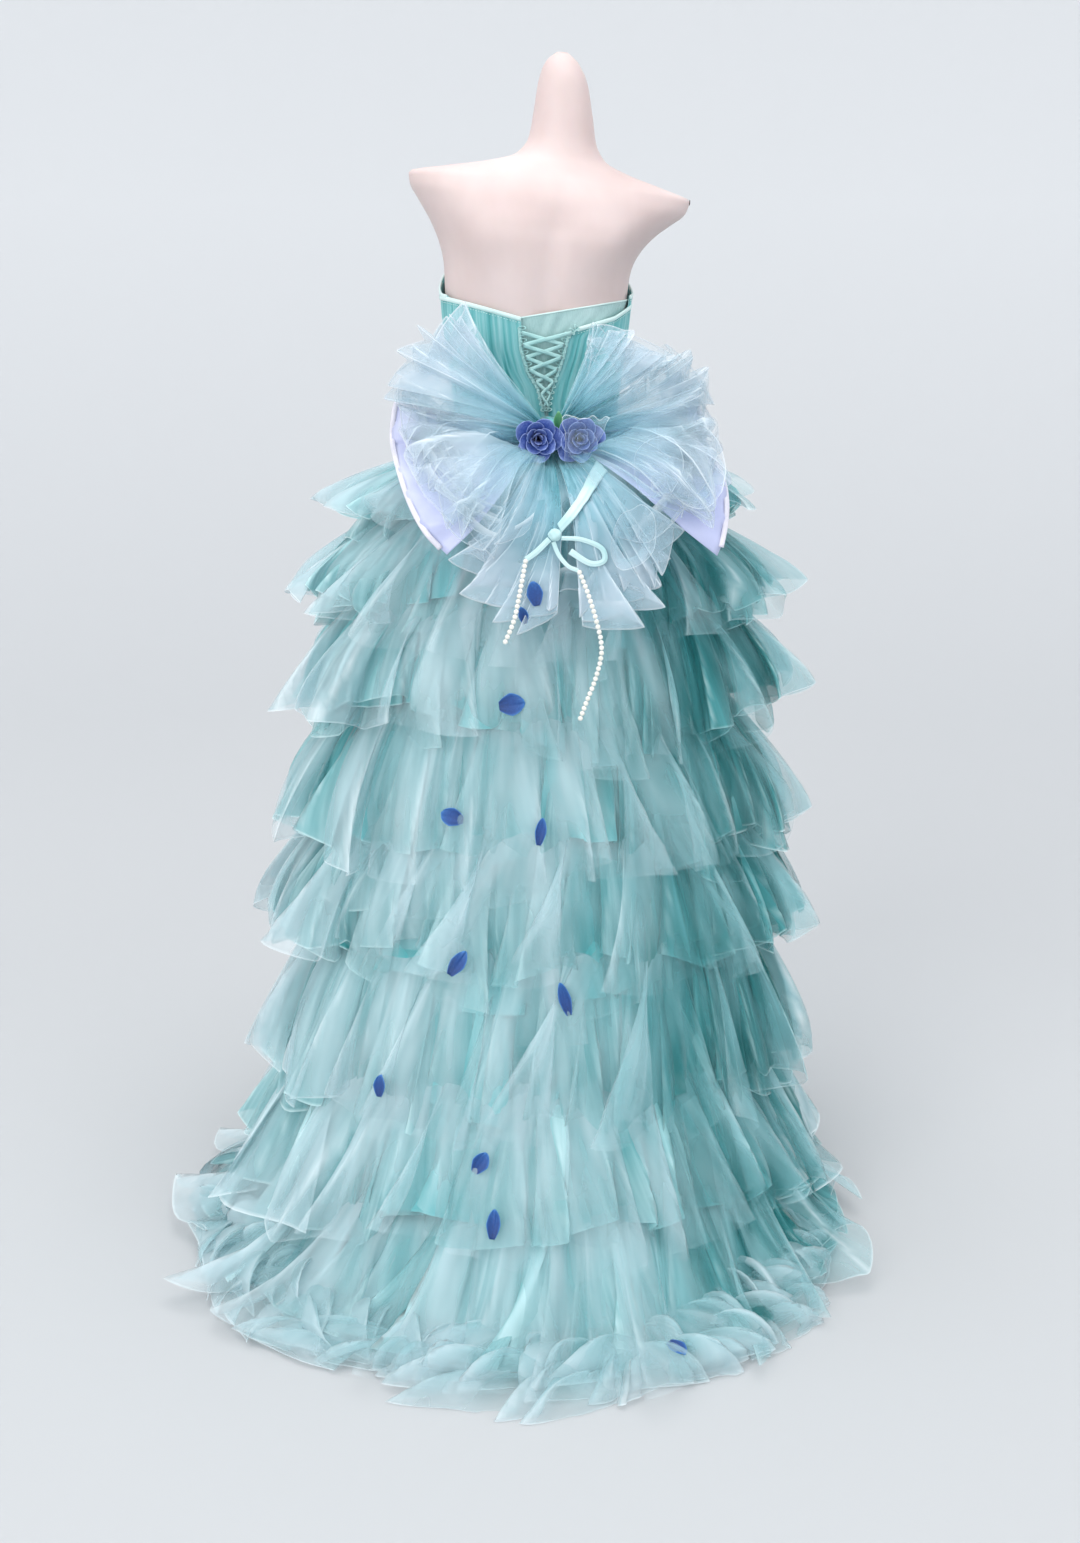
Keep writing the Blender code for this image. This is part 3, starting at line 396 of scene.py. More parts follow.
def turned(count: int, start: float = 0.0) -> Array:
    """A row of even angles once round, from a starting one."""
    return (np.linspace(0.0, TAU, count, endpoint=False) + start)[None, :]


def grid_of(x: Array, y: Array, z: Array) -> Array:
    """Points from coordinates that spread over one grid."""
    return np.stack(np.broadcast_arrays(x, y, z), axis=-1)


def vectors(points: Sequence[Sequence[float]]) -> list[Vector]:
    """The same points as vectors."""
    return [Vector(point) for point in points]


def placed(seat: Vector, axes: Sequence[Vector], places: Sequence[Array]) -> Array:
    """Points from their places along three axes at a seat."""
    points = np.array(seat)
    for axis, place in zip(axes, places):
        points = points + place[..., None] * np.array(axis)
    return points


def from_hub(radius: Array, angle: Array) -> tuple[Array, Array]:
    """x and z of places round the bow's centre."""
    return HUB.x + radius * np.cos(angle), HUB.z + radius * np.sin(angle)


def oval(wide: Array, front: Array, back: Array, centre: Array, angle: Array,
         out: Array) -> tuple[Array, Array]:
    """x and y of points on an oval, moved straight out from it.

    Args:
        wide: Half width at each point.
        front: Reach from the centre to -Y.
        back: Reach from the centre to +Y.
        centre: The y of the oval's centre.
        angle: The angle of each point.
        out: How far each point is moved.

    Returns:
        The two coordinates.
    """
    across = np.cos(angle)
    along = np.sin(angle)
    deep = np.where(along > 0, back, front)
    normal_x = across / wide
    normal_y = along / deep
    length = np.sqrt(normal_x ** 2 + normal_y ** 2)
    return wide * across + out * normal_x / length, centre + deep * along + out * normal_y / length


def ring_points(size: dict[str, Array], angle: Array, out: Array, z: Array) -> Array:
    """Points of level rings, moved outwards.

    Args:
        size: Half widths, reaches and the y of the widest place.
        angle: The angle of each point.
        out: How far each point is moved out.
        z: The height of each point.

    Returns:
        An array of points with x, y and z last.
    """
    wide = size["right"] + (size["left"] - size["right"]) * smoothstep(0.5 + np.cos(angle) * 4)
    centre = size["centre"]
    x, y = oval(wide, size["front"] + centre, size["back"] - centre, centre, angle, out)
    return grid_of(x, y, z)


def bustle(x: Array, z: Array, lift: Array, lean: Array) -> Array:
    """Points over the back of the bustle that the bow lies on.

    Args:
        x: Place from side to side.
        z: Height.
        lift: How far out of the surface.
        lean: 0 moves a point straight back, and 1 along the surface's own direction.

    Returns:
        An array of points with x, y and z last.
    """
    def back(at_x: Array, at_z: Array) -> Array:
        """How far back the bustle comes at a place."""
        high = np.clip((1.12 - at_z) / 0.07, 0.0, 1.0)
        return rising(BUSTLE_LEVELS, BUSTLE_BACKS, at_z) - (1.0 - 0.15 * high) * at_x * at_x

    near = 0.012
    slope_x = (back(x + near, z) - back(x - near, z)) / (2 * near)
    slope_z = (back(x, z + near) - back(x, z - near)) / (2 * near)
    normal = grid_of(-slope_x * lean, 1.0, -slope_z * lean)
    normal /= np.linalg.norm(normal, axis=-1, keepdims=True)
    base = grid_of(x, back(x, z), z)
    return base + np.broadcast_to(lift, base.shape[:-1])[..., None] * normal


def route_through(places: Sequence[Sequence[float]], count: int) -> list[Vector]:
    """Evenly numbered points on one smooth curve through a few given ones."""
    hand = [Vector(place) for place in places]
    ends = [hand[0] * 2 - hand[1]] + hand + [hand[-1] * 2 - hand[-2]]
    route = []
    for step in range(count):
        place = step * (len(hand) - 1) / (count - 1)
        index = min(int(place), len(hand) - 2)
        t = place - index
        a, b, c, d = ends[index:index + 4]
        route.append(0.5 * (2 * b + (c - a) * t + (2 * a - 5 * b + 4 * c - d) * t ** 2
                            + (3 * b - a - 3 * c + d) * t ** 3))
    return route


def route_length(route: Sequence[Vector]) -> float:
    """Length of a line of points."""
    return sum((after - here).length for here, after in zip(route, route[1:]))


# Meshes


def in_scene(name: str, data: bpy.types.ID) -> Piece:
    """A new object that holds the data, linked to the scene."""
    made = bpy.data.objects.new(name, data)
    bpy.context.scene.collection.objects.link(made)
    return made


def grid_mesh(name: str, points: Array, closed: bool, uv: Optional[Array] = None,
              marks: Optional[Marks] = None) -> Piece:
    """A smooth sheet over a grid of points.

    Args:
        name: The object's name.
        points: Rows and columns of points.
        closed: Whether the last column joins the first.
        uv: A (u, v) for each point, with one column more than the points on a closed grid.
        marks: Named values for each point, held from 0 to 1 as attributes for the finish.

    Returns:
        The new object, linked to the scene.
    """
    rows, columns = points.shape[:2]
    across = columns if closed else columns - 1
    row = np.arange(rows - 1)[:, None]
    column = np.arange(across)[None, :]
    beside = (column + 1) % columns
    corners = np.stack(np.broadcast_arrays(row * columns + column, (row + 1) * columns + column,
                                           (row + 1) * columns + beside, row * columns + beside), axis=-1)
    faces = corners.reshape(-1, 4)
    mesh = bpy.data.meshes.new(name)
    mesh.vertices.add(rows * columns)
    mesh.vertices.foreach_set("co", points.reshape(-1).astype(np.float32))
    mesh.loops.add(len(faces) * 4)
    mesh.loops.foreach_set("vertex_index", faces.reshape(-1).astype(np.int32))
    mesh.polygons.add(len(faces))
    mesh.polygons.foreach_set("loop_start", np.arange(0, len(faces) * 4, 4, dtype=np.int32))
    mesh.update(calc_edges=True)
    mesh.shade_smooth()
    if uv is not None:
        wide = uv.shape[1]
        here = row * wide + column
        places = np.stack(np.broadcast_arrays(here, here + wide, here + wide + 1, here + 1), axis=-1)
        layer = mesh.uv_layers.new(name="UVMap")
        layer.data.foreach_set("uv", uv.reshape(-1, 2)[places.reshape(-1)].reshape(-1).astype(np.float32))
    for mark, values in (marks or {}).items():
        held = np.clip(np.broadcast_to(values, (rows, columns)), 0.0, 1.0)
        attribute = mesh.attributes.new(mark, "FLOAT", "POINT")
        attribute.data.foreach_set("value", np.ascontiguousarray(held, np.float32).reshape(-1))
    return in_scene(name, mesh)


def evaluated_mesh(made: Piece) -> bpy.types.Mesh:
    """A plain mesh of a piece as its modifiers leave it."""
    graph = bpy.context.evaluated_depsgraph_get()
    graph.update()
    return bpy.data.meshes.new_from_object(made.evaluated_get(graph), depsgraph=graph)


def bake(made: Piece) -> None:
    """Turn a piece's modifiers into its mesh."""
    mesh = evaluated_mesh(made)
    made.modifiers.clear()
    made.data = mesh


def lengths_along(points: Array) -> Array:
    """How far each point of a line lies from its first one."""
    return np.concatenate([[0.0], np.cumsum(np.linalg.norm(np.diff(points, axis=0), axis=1))])


def mean_fall(points: Array) -> Array:
    """How far down each row of a grid lies, on average over its columns."""
    return np.concatenate([[0.0], np.cumsum(np.linalg.norm(np.diff(points, axis=0), axis=2).mean(axis=1))])


def sheet_uv(points: Array) -> Array:
    """Lay a grid flat: u in metres along its last row, and v in metres down its middle column."""
    middle = points[:, points.shape[1] // 2]
    return np.stack(np.meshgrid(lengths_along(points[-1]), lengths_along(middle)), axis=-1)


def closed_uv(points: Array) -> Array:
    """Flat layout of a closed ring of cloth, with one column more than its points."""
    last = np.concatenate([points[-1], points[-1][:1]])
    length = float(np.linalg.norm(np.diff(last, axis=0), axis=1).sum())
    return np.stack(np.meshgrid(np.linspace(0.0, length, points.shape[1] + 1), mean_fall(points)), axis=-1)


def radial_uv(points: Array) -> Array:
    """Flat layout of a pouf, with u across it and v outwards."""
    width = float(np.linalg.norm(np.diff(points[len(points) * 3 // 4], axis=0), axis=1).sum())
    return np.stack(np.meshgrid(np.linspace(0.0, width, points.shape[1]), mean_fall(points)), axis=-1)


def join(name: str, parts: Sequence[Piece]) -> Piece:
    """One object from several, with its mesh in world places."""
    for item in bpy.context.selected_objects:
        item.select_set(False)
    for part in parts:
        part.select_set(True)
    bpy.context.view_layer.objects.active = parts[0]
    if len(parts) > 1:
        bpy.ops.object.join()
    made = parts[0]
    made.name = name
    made.data.name = name
    made.select_set(False)
    return made


def settle(made: Piece, finish: Material, slot: Slot, *nodes: str) -> Piece:
    """Give a piece its finish and its body, and hide the imported nodes that it stands for."""
    made.data.materials.clear()
    made.data.materials.append(finish)
    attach(made, "root")
    if nodes:
        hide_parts(*nodes)
    LOG.info("%s: %d faces", made.name, len(made.data.polygons))
    return made


def mesh_area(made: Piece) -> float:
    """Area of a mesh in square metres."""
    values = np.empty(len(made.data.polygons), np.float32)
    made.data.polygons.foreach_get("area", values)
    return float(values.sum())


def declare_cut(made: Piece, points: Array, closed: bool) -> None:
    """Work out a sheet's flat size from its widest edge and its fall, and how much of that its mesh covers;
    the results are not kept.
    """
    ring = np.concatenate([points, points[:, :1]], axis=1) if closed else points
    width = float(np.linalg.norm(np.diff(ring, axis=1), axis=2).sum(axis=1).max())
    length = float(np.linalg.norm(np.diff(points, axis=0), axis=2).sum(axis=0).mean())
    share = mesh_area(made) / (width * length)


def close_ends(made: Piece) -> None:
    """Fill the open ends of a tube."""
    work = bmesh.new()
    work.from_mesh(made.data)
    bmesh.ops.holes_fill(work, edges=[edge for edge in work.edges if edge.is_boundary], sides=0)
    bmesh.ops.recalc_face_normals(work, faces=work.faces)
    work.to_mesh(made.data)
    work.free()
    made.data.shade_smooth()


def cloth_wall(made: Piece, thickness: float, offset: float = 0.0) -> None:
    """Give a sheet its thickness."""
    wall = made.modifiers.new("wall", "SOLIDIFY")
    wall.thickness = thickness
    wall.offset = offset


def tailor(name: str, points: Array, finish: Material, slot: Slot, *nodes: str, closed: bool = False,
           layout: Optional[Callable[[Array], Array]] = None, marks: Optional[Marks] = None,
           wall: float = 0.0, offset: float = 0.0, filled: bool = False, held: Optional[Held] = None,
           rests_on: str = "", thin: int = 1) -> Piece:
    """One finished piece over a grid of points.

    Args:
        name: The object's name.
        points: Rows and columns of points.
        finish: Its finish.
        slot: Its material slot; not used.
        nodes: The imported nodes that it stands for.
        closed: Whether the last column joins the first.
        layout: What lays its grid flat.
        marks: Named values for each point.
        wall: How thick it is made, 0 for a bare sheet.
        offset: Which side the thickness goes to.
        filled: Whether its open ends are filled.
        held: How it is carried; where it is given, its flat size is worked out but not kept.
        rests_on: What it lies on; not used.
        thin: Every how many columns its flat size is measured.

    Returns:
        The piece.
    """
    made = grid_mesh(name, points, closed, layout(points) if layout else None, marks)
    if filled:
        close_ends(made)
    if wall > 0.0:
        cloth_wall(made, wall, offset)
    settle(made, finish, slot, *nodes)
    if held is not None:
        declare_cut(made, points[:, ::thin], closed)
    return made


# Finishes


class Tree:
    """A node tree, with short ways to add and join its nodes."""

    def __init__(self, tree: bpy.types.NodeTree) -> None:
        """Keep the tree that the nodes go into."""
        self.tree = tree

    def add(self, kind: str, values: Optional[Marks] = None, **settings: object) -> bpy.types.Node:
        """A new node with its settings, and the values of inputs that nothing feeds."""
        made = self.tree.nodes.new(kind)
        for key, value in settings.items():
            setattr(made, key, value)
        for key, value in (values or {}).items():
            made.inputs[key].default_value = value
        return made

    def feed(self, made: bpy.types.Node, **sources: Socket) -> Optional[Socket]:
        """Join sockets to a node's inputs, with _ for a space, and give its first output if it has one."""
        for name, source in sources.items():
            self.tree.links.new(source, made.inputs[name.replace("_", " ")])
        return made.outputs[0] if made.outputs else None


class Nodes(Tree):
    """A short way to build one material's node tree."""

    def __init__(self, name: str) -> None:
        """Start a material with an empty tree."""
        self.material = bpy.data.materials.new(name)
        self.material.use_nodes = True
        super().__init__(self.material.node_tree)
        self.shader = self.tree.nodes["Principled BSDF"]

    def maths(self, operation: str, first: object, second: object = 0.0, third: object = 0.0,
              clamp: bool = False) -> Socket:
        """A maths node on sockets or numbers.

        Args:
            operation: Blender's name of the operation.
            first: The first value.
            second: The second value.
            third: The third value.
            clamp: Whether the result is held between 0 and 1.

        Returns:
            The result's socket.
        """
        made = self.add("ShaderNodeMath", operation=operation, use_clamp=clamp)
        for place, value in enumerate((first, second, third)):
            if isinstance(value, Socket):
                self.tree.links.new(value, made.inputs[place])
            else:
                made.inputs[place].default_value = value
        return made.outputs[0]

    def mark(self, name: str) -> Socket:
        """The value of a piece's own attribute."""
        return self.add("ShaderNodeAttribute", attribute_name=name).outputs["Fac"]

    def noise(self, space: str, scale: Sequence[float], detail: float = 2.0,
              kind: str = "3D") -> Socket:
        """Noise over a coordinate, stretched by a scale along each axis."""
        place = self.add("ShaderNodeTexCoord").outputs[space]
        stretched = self.feed(self.add("ShaderNodeMapping", {"Scale": tuple(scale)}), Vector=place)
        texture = self.add("ShaderNodeTexNoise", {"Scale": 1.0, "Detail": detail}, noise_dimensions=kind)
        return self.feed(texture, Vector=stretched)

    def distance(self) -> Socket:
        """How far a point is from the object's origin."""
        made = self.add("ShaderNodeVectorMath", operation="LENGTH")
        self.feed(made, Vector=self.add("ShaderNodeTexCoord").outputs["Object"])
        return made.outputs["Value"]

    def ramp(self, factor: Socket, stops: Sequence[tuple[float, Colour]]) -> Socket:
        """Colours read along a factor."""
        made = self.add("ShaderNodeValToRGB")
        band = made.color_ramp
        while len(band.elements) < len(stops):
            band.elements.new(0.5)
        for element, (place, colour) in zip(band.elements, stops):
            element.position = place
            element.color = (*colour, 1.0)
        return self.feed(made, Fac=factor)

    def mix(self, factor: Socket, first: Socket,
            second: Colour) -> Socket:
        """A colour mixed with a plain one by a factor."""
        made = self.add("ShaderNodeMix", {7: (*second, 1.0)}, data_type="RGBA")
        self.tree.links.new(factor, made.inputs[0])
        self.tree.links.new(first, made.inputs[6])
        return made.outputs[2]

    def bump(self, height: Socket, strength: float, distance: float) -> None:
        """Relief on the shader's normal."""
        made = self.add("ShaderNodeBump", {"Strength": strength, "Distance": distance})
        self.feed(self.shader, Normal=self.feed(made, Height=height))

    def set(self, **values: float) -> None:
        """Constants on the shader's own sockets, with _ for a space."""
        for name, value in values.items():
            self.shader.inputs[name.replace("_", " ")].default_value = value


@dataclass(frozen=True)
class NetFinish:
    """Fine stiff net: the tone mark paints shade into its folds and the rim mark a pale highlight on cut
    edges and crests; see-through towards its hem.
    """

    name: str
    deep: Colour
    middle: Colour
    pale: Colour
    # Colour of the painted highlight that the rim mark mixes in.
    rim: Colour
    streaks: float = 80.0
    along: float = 4.0
    patches: float = 17.0
    patch_share: float = 1.6
    patch_ratio: float = 0.2
    streak_share: float = 1.0
    swing: float = 0.30
    rim_cover: float = 0.34
    sheen: float = 0.35
    see_through: bool = True

    def make(self) -> Material:
        """The material."""
        nodes = Nodes(self.name)
        broad = nodes.noise("UV", (self.patches, self.patches * self.patch_ratio, 1.0), 2.0, "2D")
        both = nodes.maths("MULTIPLY", broad, self.patch_share)
        if self.streak_share > 0.0:
            streak = nodes.noise("UV", (self.streaks, self.along, 1.0), 2.0, "2D")
            both = nodes.maths("MULTIPLY_ADD", streak, self.streak_share, both)
            if not self.see_through:
                nodes.bump(streak, 0.35 * self.streak_share, 0.003)
        swung = nodes.maths("SUBTRACT", both, 0.5 * (self.streak_share + self.patch_share))
        tone = nodes.maths("MULTIPLY_ADD", swung, 0.55, nodes.mark("tone"), clamp=True)
        colour = nodes.ramp(tone, ((0.0, self.deep), (0.42, self.middle), (0.95, self.pale)))
        # Painted highlight: the rim mark mixes the pale rim colour into the base colour.
        rim = nodes.mark("rim")
        nodes.feed(nodes.shader, Base_Color=nodes.mix(rim, colour, self.rim))
        if self.see_through:
            cover = nodes.maths("MULTIPLY_ADD", swung, self.swing, nodes.mark("cover"))
            cover = nodes.maths("MULTIPLY_ADD", rim, self.rim_cover, cover, clamp=True)
            nodes.feed(nodes.shader, Alpha=cover)
        nodes.set(Roughness=0.72, Sheen_Weight=self.sheen, Sheen_Roughness=0.35, Specular_IOR_Level=0.25)
        return nodes.material


@dataclass(frozen=True)
class SurfaceFinish:
    """A finish whose colour, roughness and relief follow noise over the object.

    cloud and grain are the scales of the two noises along each axis. The roughness goes
    from rough by swing as the grain does, and coats are the shader's own constants.
    """

    name: str
    dark: Colour
    light: Colour
    cloud: Colour
    cloud_detail: float
    dark_stop: float
    grain: Colour
    grain_detail: float
    rough: float
    swing: float
    relief: float
    relief_depth: float
    coats: Inputs

    def make(self) -> Material:
        """The material."""
        nodes = Nodes(self.name)
        cloud = nodes.noise("Object", self.cloud, self.cloud_detail)
        stops = ((self.dark_stop, self.dark), (1.0 - self.dark_stop, self.light))
        grain = nodes.noise("Object", self.grain, self.grain_detail)
        nodes.feed(nodes.shader, Base_Color=nodes.ramp(cloud, stops),
                   Roughness=nodes.maths("MULTIPLY_ADD", grain, self.swing, self.rough))
        if self.relief > 0.0:
            nodes.bump(grain, self.relief, self.relief_depth)
        nodes.set(**self.coats)
        return nodes.material


def satin_finish(name: str, dark: Colour, light: Colour, rough: float, clouds: float = 14.0) -> SurfaceFinish:
    """Woven satin: a soft gloss, a fine thread and slow shifts of colour."""
    return SurfaceFinish(name, dark, light, cloud=(clouds,) * 3, cloud_detail=3.0, dark_stop=0.30,
                         grain=(900.0, 900.0, 162.0), grain_detail=1.0, rough=rough - 0.07, swing=0.14,
                         relief=0.18, relief_depth=0.0004,
                         coats={"Sheen_Weight": 0.25, "Sheen_Roughness": 0.4})


def shell_finish(name: str, dark: Colour, light: Colour) -> SurfaceFinish:
    """Moulded shell of the dress form: a matt skin with a faint mottling."""
    return SurfaceFinish(name, dark, light, cloud=(9.0, 9.0, 6.0), cloud_detail=4.0, dark_stop=0.25,
                         grain=(700.0,) * 3, grain_detail=2.0, rough=0.46, swing=0.12, relief=0.08,
                         relief_depth=0.0004, coats={"Subsurface_Weight": 0.08, "Subsurface_Scale": 0.02})


@dataclass(frozen=True)
class PetalFinish:
    """Petal cloth, darker at its root and paler at its rolled edge."""

    name: str
    root: Colour
    body: Colour
    edge: Colour

    def make(self) -> Material:
        """The material."""
        nodes = Nodes(self.name)
        grain = nodes.noise("Object", (420.0, 420.0, 420.0), 3.0)
        swung = nodes.maths("SUBTRACT", grain, 0.5)
        tone = nodes.maths("MULTIPLY_ADD", swung, 0.35, nodes.mark("tone"), clamp=True)
        colour = nodes.ramp(tone, ((0.05, self.root), (0.5, self.body), (0.96, self.edge)))
        nodes.feed(nodes.shader, Base_Color=colour)
        nodes.bump(grain, 0.25, 0.0005)
        nodes.set(Roughness=0.55, Sheen_Weight=0.3, Sheen_Roughness=0.4)
        return nodes.material


@dataclass(frozen=True)
class WallFinish:
    """Matt pale paper of the studio floor, paler far from the gown where less light reaches it."""

    name: str
    near: Colour
    far: Colour
    spread: float = 9.0

    def make(self) -> Material:
        """The material."""
        nodes = Nodes(self.name)
        nodes.set(Roughness=0.95)
        share = nodes.maths("DIVIDE", nodes.distance(), self.spread, clamp=True)
        nodes.feed(nodes.shader, Base_Color=nodes.ramp(share, ((0.15, self.near), (1.0, self.far))))
        return nodes.material


def made_once(finish: object) -> Material:
    """A field whose material is made once, with the rest."""
    return field(default_factory=finish.make)


TIER_NET = NetFinish("gown_net", (0.003, 0.170, 0.170), (0.110, 0.450, 0.475), (0.520, 0.780, 0.810),
                     (0.78, 0.94, 0.95), streak_share=0.8)


@dataclass
class Finishes:
    """Every finish of the gown, made once."""

    gown_net: Material = made_once(TIER_NET)
    lining_net: Material = made_once(replace(TIER_NET, name="lining_net", see_through=False))
    core_net: Material = made_once(NetFinish(
        "core_net", (0.005, 0.170, 0.170), (0.080, 0.400, 0.420), (0.300, 0.620, 0.640), (0.60, 0.84, 0.86),
        see_through=False))
    film_net: Material = made_once(NetFinish(
        "film_net", (0.030, 0.260, 0.280), (0.330, 0.620, 0.660), (0.640, 0.800, 0.850), (0.88, 0.96, 0.98),
        patches=20.0, patch_ratio=0.25, streak_share=0.0, sheen=0.5))
    bow_net: Material = made_once(NetFinish(
        "bow_net", (0.040, 0.320, 0.370), (0.310, 0.590, 0.690), (0.690, 0.800, 0.890), (0.95, 0.98, 1.00),
        patches=14.0, patch_share=1.0, patch_ratio=0.8, streak_share=0.0, rim_cover=0.50, sheen=0.5))
    bodice_satin: Material = made_once(NetFinish(
        "bodice_pleated_net", (0.030, 0.270, 0.270), (0.140, 0.470, 0.480), (0.360, 0.660, 0.670),
        (0.62, 0.84, 0.84), streaks=260.0, along=9.0, see_through=False))
    mint_satin: Material = made_once(satin_finish("mint_satin", (0.27, 0.47, 0.46), (0.52, 0.71, 0.70), 0.28))
    lace_satin: Material = made_once(satin_finish("lace_satin", (0.36, 0.64, 0.62), (0.55, 0.80, 0.77), 0.32))
    binding: Material = made_once(satin_finish("pale_binding", (0.58, 0.80, 0.77), (0.74, 0.90, 0.87), 0.42))
    ribbon_satin: Material = made_once(satin_finish("ribbon_satin", (0.44, 0.70, 0.71), (0.66, 0.85, 0.86), 0.36))
    lilac_satin: Material = made_once(satin_finish(
        "lilac_satin", (0.50, 0.54, 0.80), (0.64, 0.67, 0.88), 0.32, 9.0))
    blush_satin: Material = made_once(satin_finish(
        "blush_edge_satin", (0.68, 0.66, 0.76), (0.84, 0.81, 0.88), 0.28))
    rose_blue: Material = made_once(PetalFinish(
        "rose_blue", (0.006, 0.012, 0.080), (0.045, 0.095, 0.380), (0.340, 0.440, 0.800)))
    loose_blue: Material = made_once(PetalFinish(
        "loose_petal_blue", (0.003, 0.012, 0.065), (0.008, 0.062, 0.265), (0.045, 0.200, 0.540)))
    leaf: Material = made_once(PetalFinish(
        "leaf_green", (0.010, 0.100, 0.040), (0.040, 0.230, 0.090), (0.160, 0.420, 0.200)))
    shell: Material = made_once(shell_finish("form_shell", (0.60, 0.475, 0.455), (0.72, 0.60, 0.58)))
    # Painted shade: a near-black finish that stands for the depth of the shoulder's fixing hole.
    hollow: Material = made_once(shell_finish("joint_hollow", (0.05, 0.03, 0.03), (0.09, 0.06, 0.05)))
    pearl: Material = made_once(SurfaceFinish(
        "pearl_lacquer", (0.80, 0.78, 0.70), (0.93, 0.91, 0.86), cloud=(160.0,) * 3, cloud_detail=2.0,
        dark_stop=0.3, grain=(160.0,) * 3, grain_detail=2.0, rough=0.16, swing=0.12, relief=0.0,
        relief_depth=0.0, coats={"Coat_Weight": 0.6, "Coat_Roughness": 0.12}))
    metal: Material = made_once(SurfaceFinish(
        "turned_steel", (0.52, 0.52, 0.53), (0.72, 0.72, 0.73), cloud=(60.0, 60.0, 900.0), cloud_detail=2.0,
        dark_stop=0.3, grain=(60.0, 60.0, 900.0), grain_detail=2.0, rough=0.22, swing=0.2, relief=0.1,
        relief_depth=0.0002, coats={"Metallic": 1.0}))
    paper: Material = made_once(WallFinish("studio_paper", (0.56, 0.57, 0.58), (0.82, 0.83, 0.84)))


# Repeats, made by node trees


class Repeater(Tree):
    """A node tree that strings copies of one small piece along a line."""

    def __init__(self, name: str, sizes: Inputs) -> None:
        """Start the tree.

        Args:
            name: The tree's name.
            sizes: Named inputs and their values.
        """
        super().__init__(bpy.data.node_groups.new(name, "GeometryNodeTree"))
        self.tree.is_modifier = True
        self.sizes = sizes
        face = self.tree.interface
        face.new_socket("Geometry", in_out="INPUT", socket_type="NodeSocketGeometry")
        self.keys = {}
        for label, value in sizes.items():
            socket = face.new_socket(label, in_out="INPUT", socket_type="NodeSocketFloat")
            socket.default_value = value
            self.keys[label] = socket.identifier
        face.new_socket("Geometry", in_out="OUTPUT", socket_type="NodeSocketGeometry")
        self.given = self.add("NodeGroupInput")
        self.result = self.add("NodeGroupOutput")

    def along(self, spacing: str) -> tuple[Socket, Socket]:
        """Places a named spacing apart along the incoming line.

        Args:
            spacing: The name of the input that holds the spacing.

        Returns:
            The points' socket, and the socket of their rotation along the line.
        """
        line = self.feed(self.add("GeometryNodeMeshToCurve"), Mesh=self.given.outputs["Geometry"])
        points = self.add("GeometryNodeCurveToPoints", mode="LENGTH")
        self.feed(points, Curve=line, Length=self.given.outputs[spacing])
        turn = self.feed(self.add("FunctionNodeAlignRotationToVector", axis="X"),
                         Vector=points.outputs["Tangent"])
        facing = self.add("GeometryNodeInputNamedAttribute", {"Name": "facing"}, data_type="FLOAT_VECTOR")
        face = self.add("FunctionNodeAlignRotationToVector", axis="Z", pivot_axis="X")
        return points.outputs["Points"], self.feed(face, Rotation=turn, Vector=facing.outputs["Attribute"])

    def finish(self, points: Socket, rotation: Socket,
               piece: Socket, material: Material) -> None:
        """Put the piece on the points, make it real and give it its material."""
        flow = self.feed(self.add("GeometryNodeInstanceOnPoints"), Points=points, Rotation=rotation,
                         Instance=piece)
        for kind, values in (("GeometryNodeRealizeInstances", {}), ("GeometryNodeSetShadeSmooth", {}),
                             ("GeometryNodeSetMaterial", {"Material": material})):
            flow = self.feed(self.add(kind, values), Geometry=flow)
        self.feed(self.result, Geometry=flow)

    def run(self, name: str, route: Sequence[Vector], facing: Sequence[Vector]) -> Piece:
        """Make the plain mesh along a route.

        Args:
            name: The new object's name.
            route: The line's points.
            facing: The direction that the copies face at each point.

        Returns:
            The object, with no modifier left on it.
        """
        line = bpy.data.meshes.new(name + "_line")
        line.from_pydata([tuple(p) for p in route], [(i, i + 1) for i in range(len(route) - 1)], [])
        mark = line.attributes.new("facing", "FLOAT_VECTOR", "POINT")
        mark.data.foreach_set("vector", [c for v in facing for c in v])
        holder = in_scene(name + "_holder", line)
        modifier = holder.modifiers.new("repeat", "NODES")
        modifier.node_group = self.tree
        for label, key in self.keys.items():
            modifier[key] = self.sizes[label]
        mesh = evaluated_mesh(holder)
        mesh.name = name
        bpy.data.objects.remove(holder, do_unlink=True)
        return in_scene(name, mesh)


def bead_repeater(diameter: float, material: Material) -> Repeater:
    """Round beads that touch, along a line."""
    tree = Repeater("strung_beads", {"Spacing": diameter, "Radius": diameter / 2})
    points, rotation = tree.along("Spacing")
    bead = tree.add("GeometryNodeMeshUVSphere", {"Segments": 14, "Rings": 9})
    tree.finish(points, rotation, tree.feed(bead, Radius=tree.given.outputs["Radius"]), material)
    return tree


def loop_repeater(spacing: float, radius: float, thread: float, material: Material) -> Repeater:
    """Small cloth loops that stand in a row, their length across the line."""
    tree = Repeater("edge_loops", {"Spacing": spacing, "Radius": radius, "Thread": thread})
    points, rotation = tree.along("Spacing")
    ring = tree.feed(tree.add("GeometryNodeCurvePrimitiveCircle", {"Resolution": 14}),
                     Radius=tree.given.outputs["Radius"])
    profile = tree.feed(tree.add("GeometryNodeCurvePrimitiveCircle", {"Resolution": 6}),
                        Radius=tree.given.outputs["Thread"])
    tube = tree.feed(tree.add("GeometryNodeCurveToMesh"), Curve=ring, Profile_Curve=profile)
    stretch = tree.add("GeometryNodeTransform", {"Scale": (0.62, 1.35, 1.0)})
    tree.finish(points, rotation, tree.feed(stretch, Geometry=tube), material)
    return tree


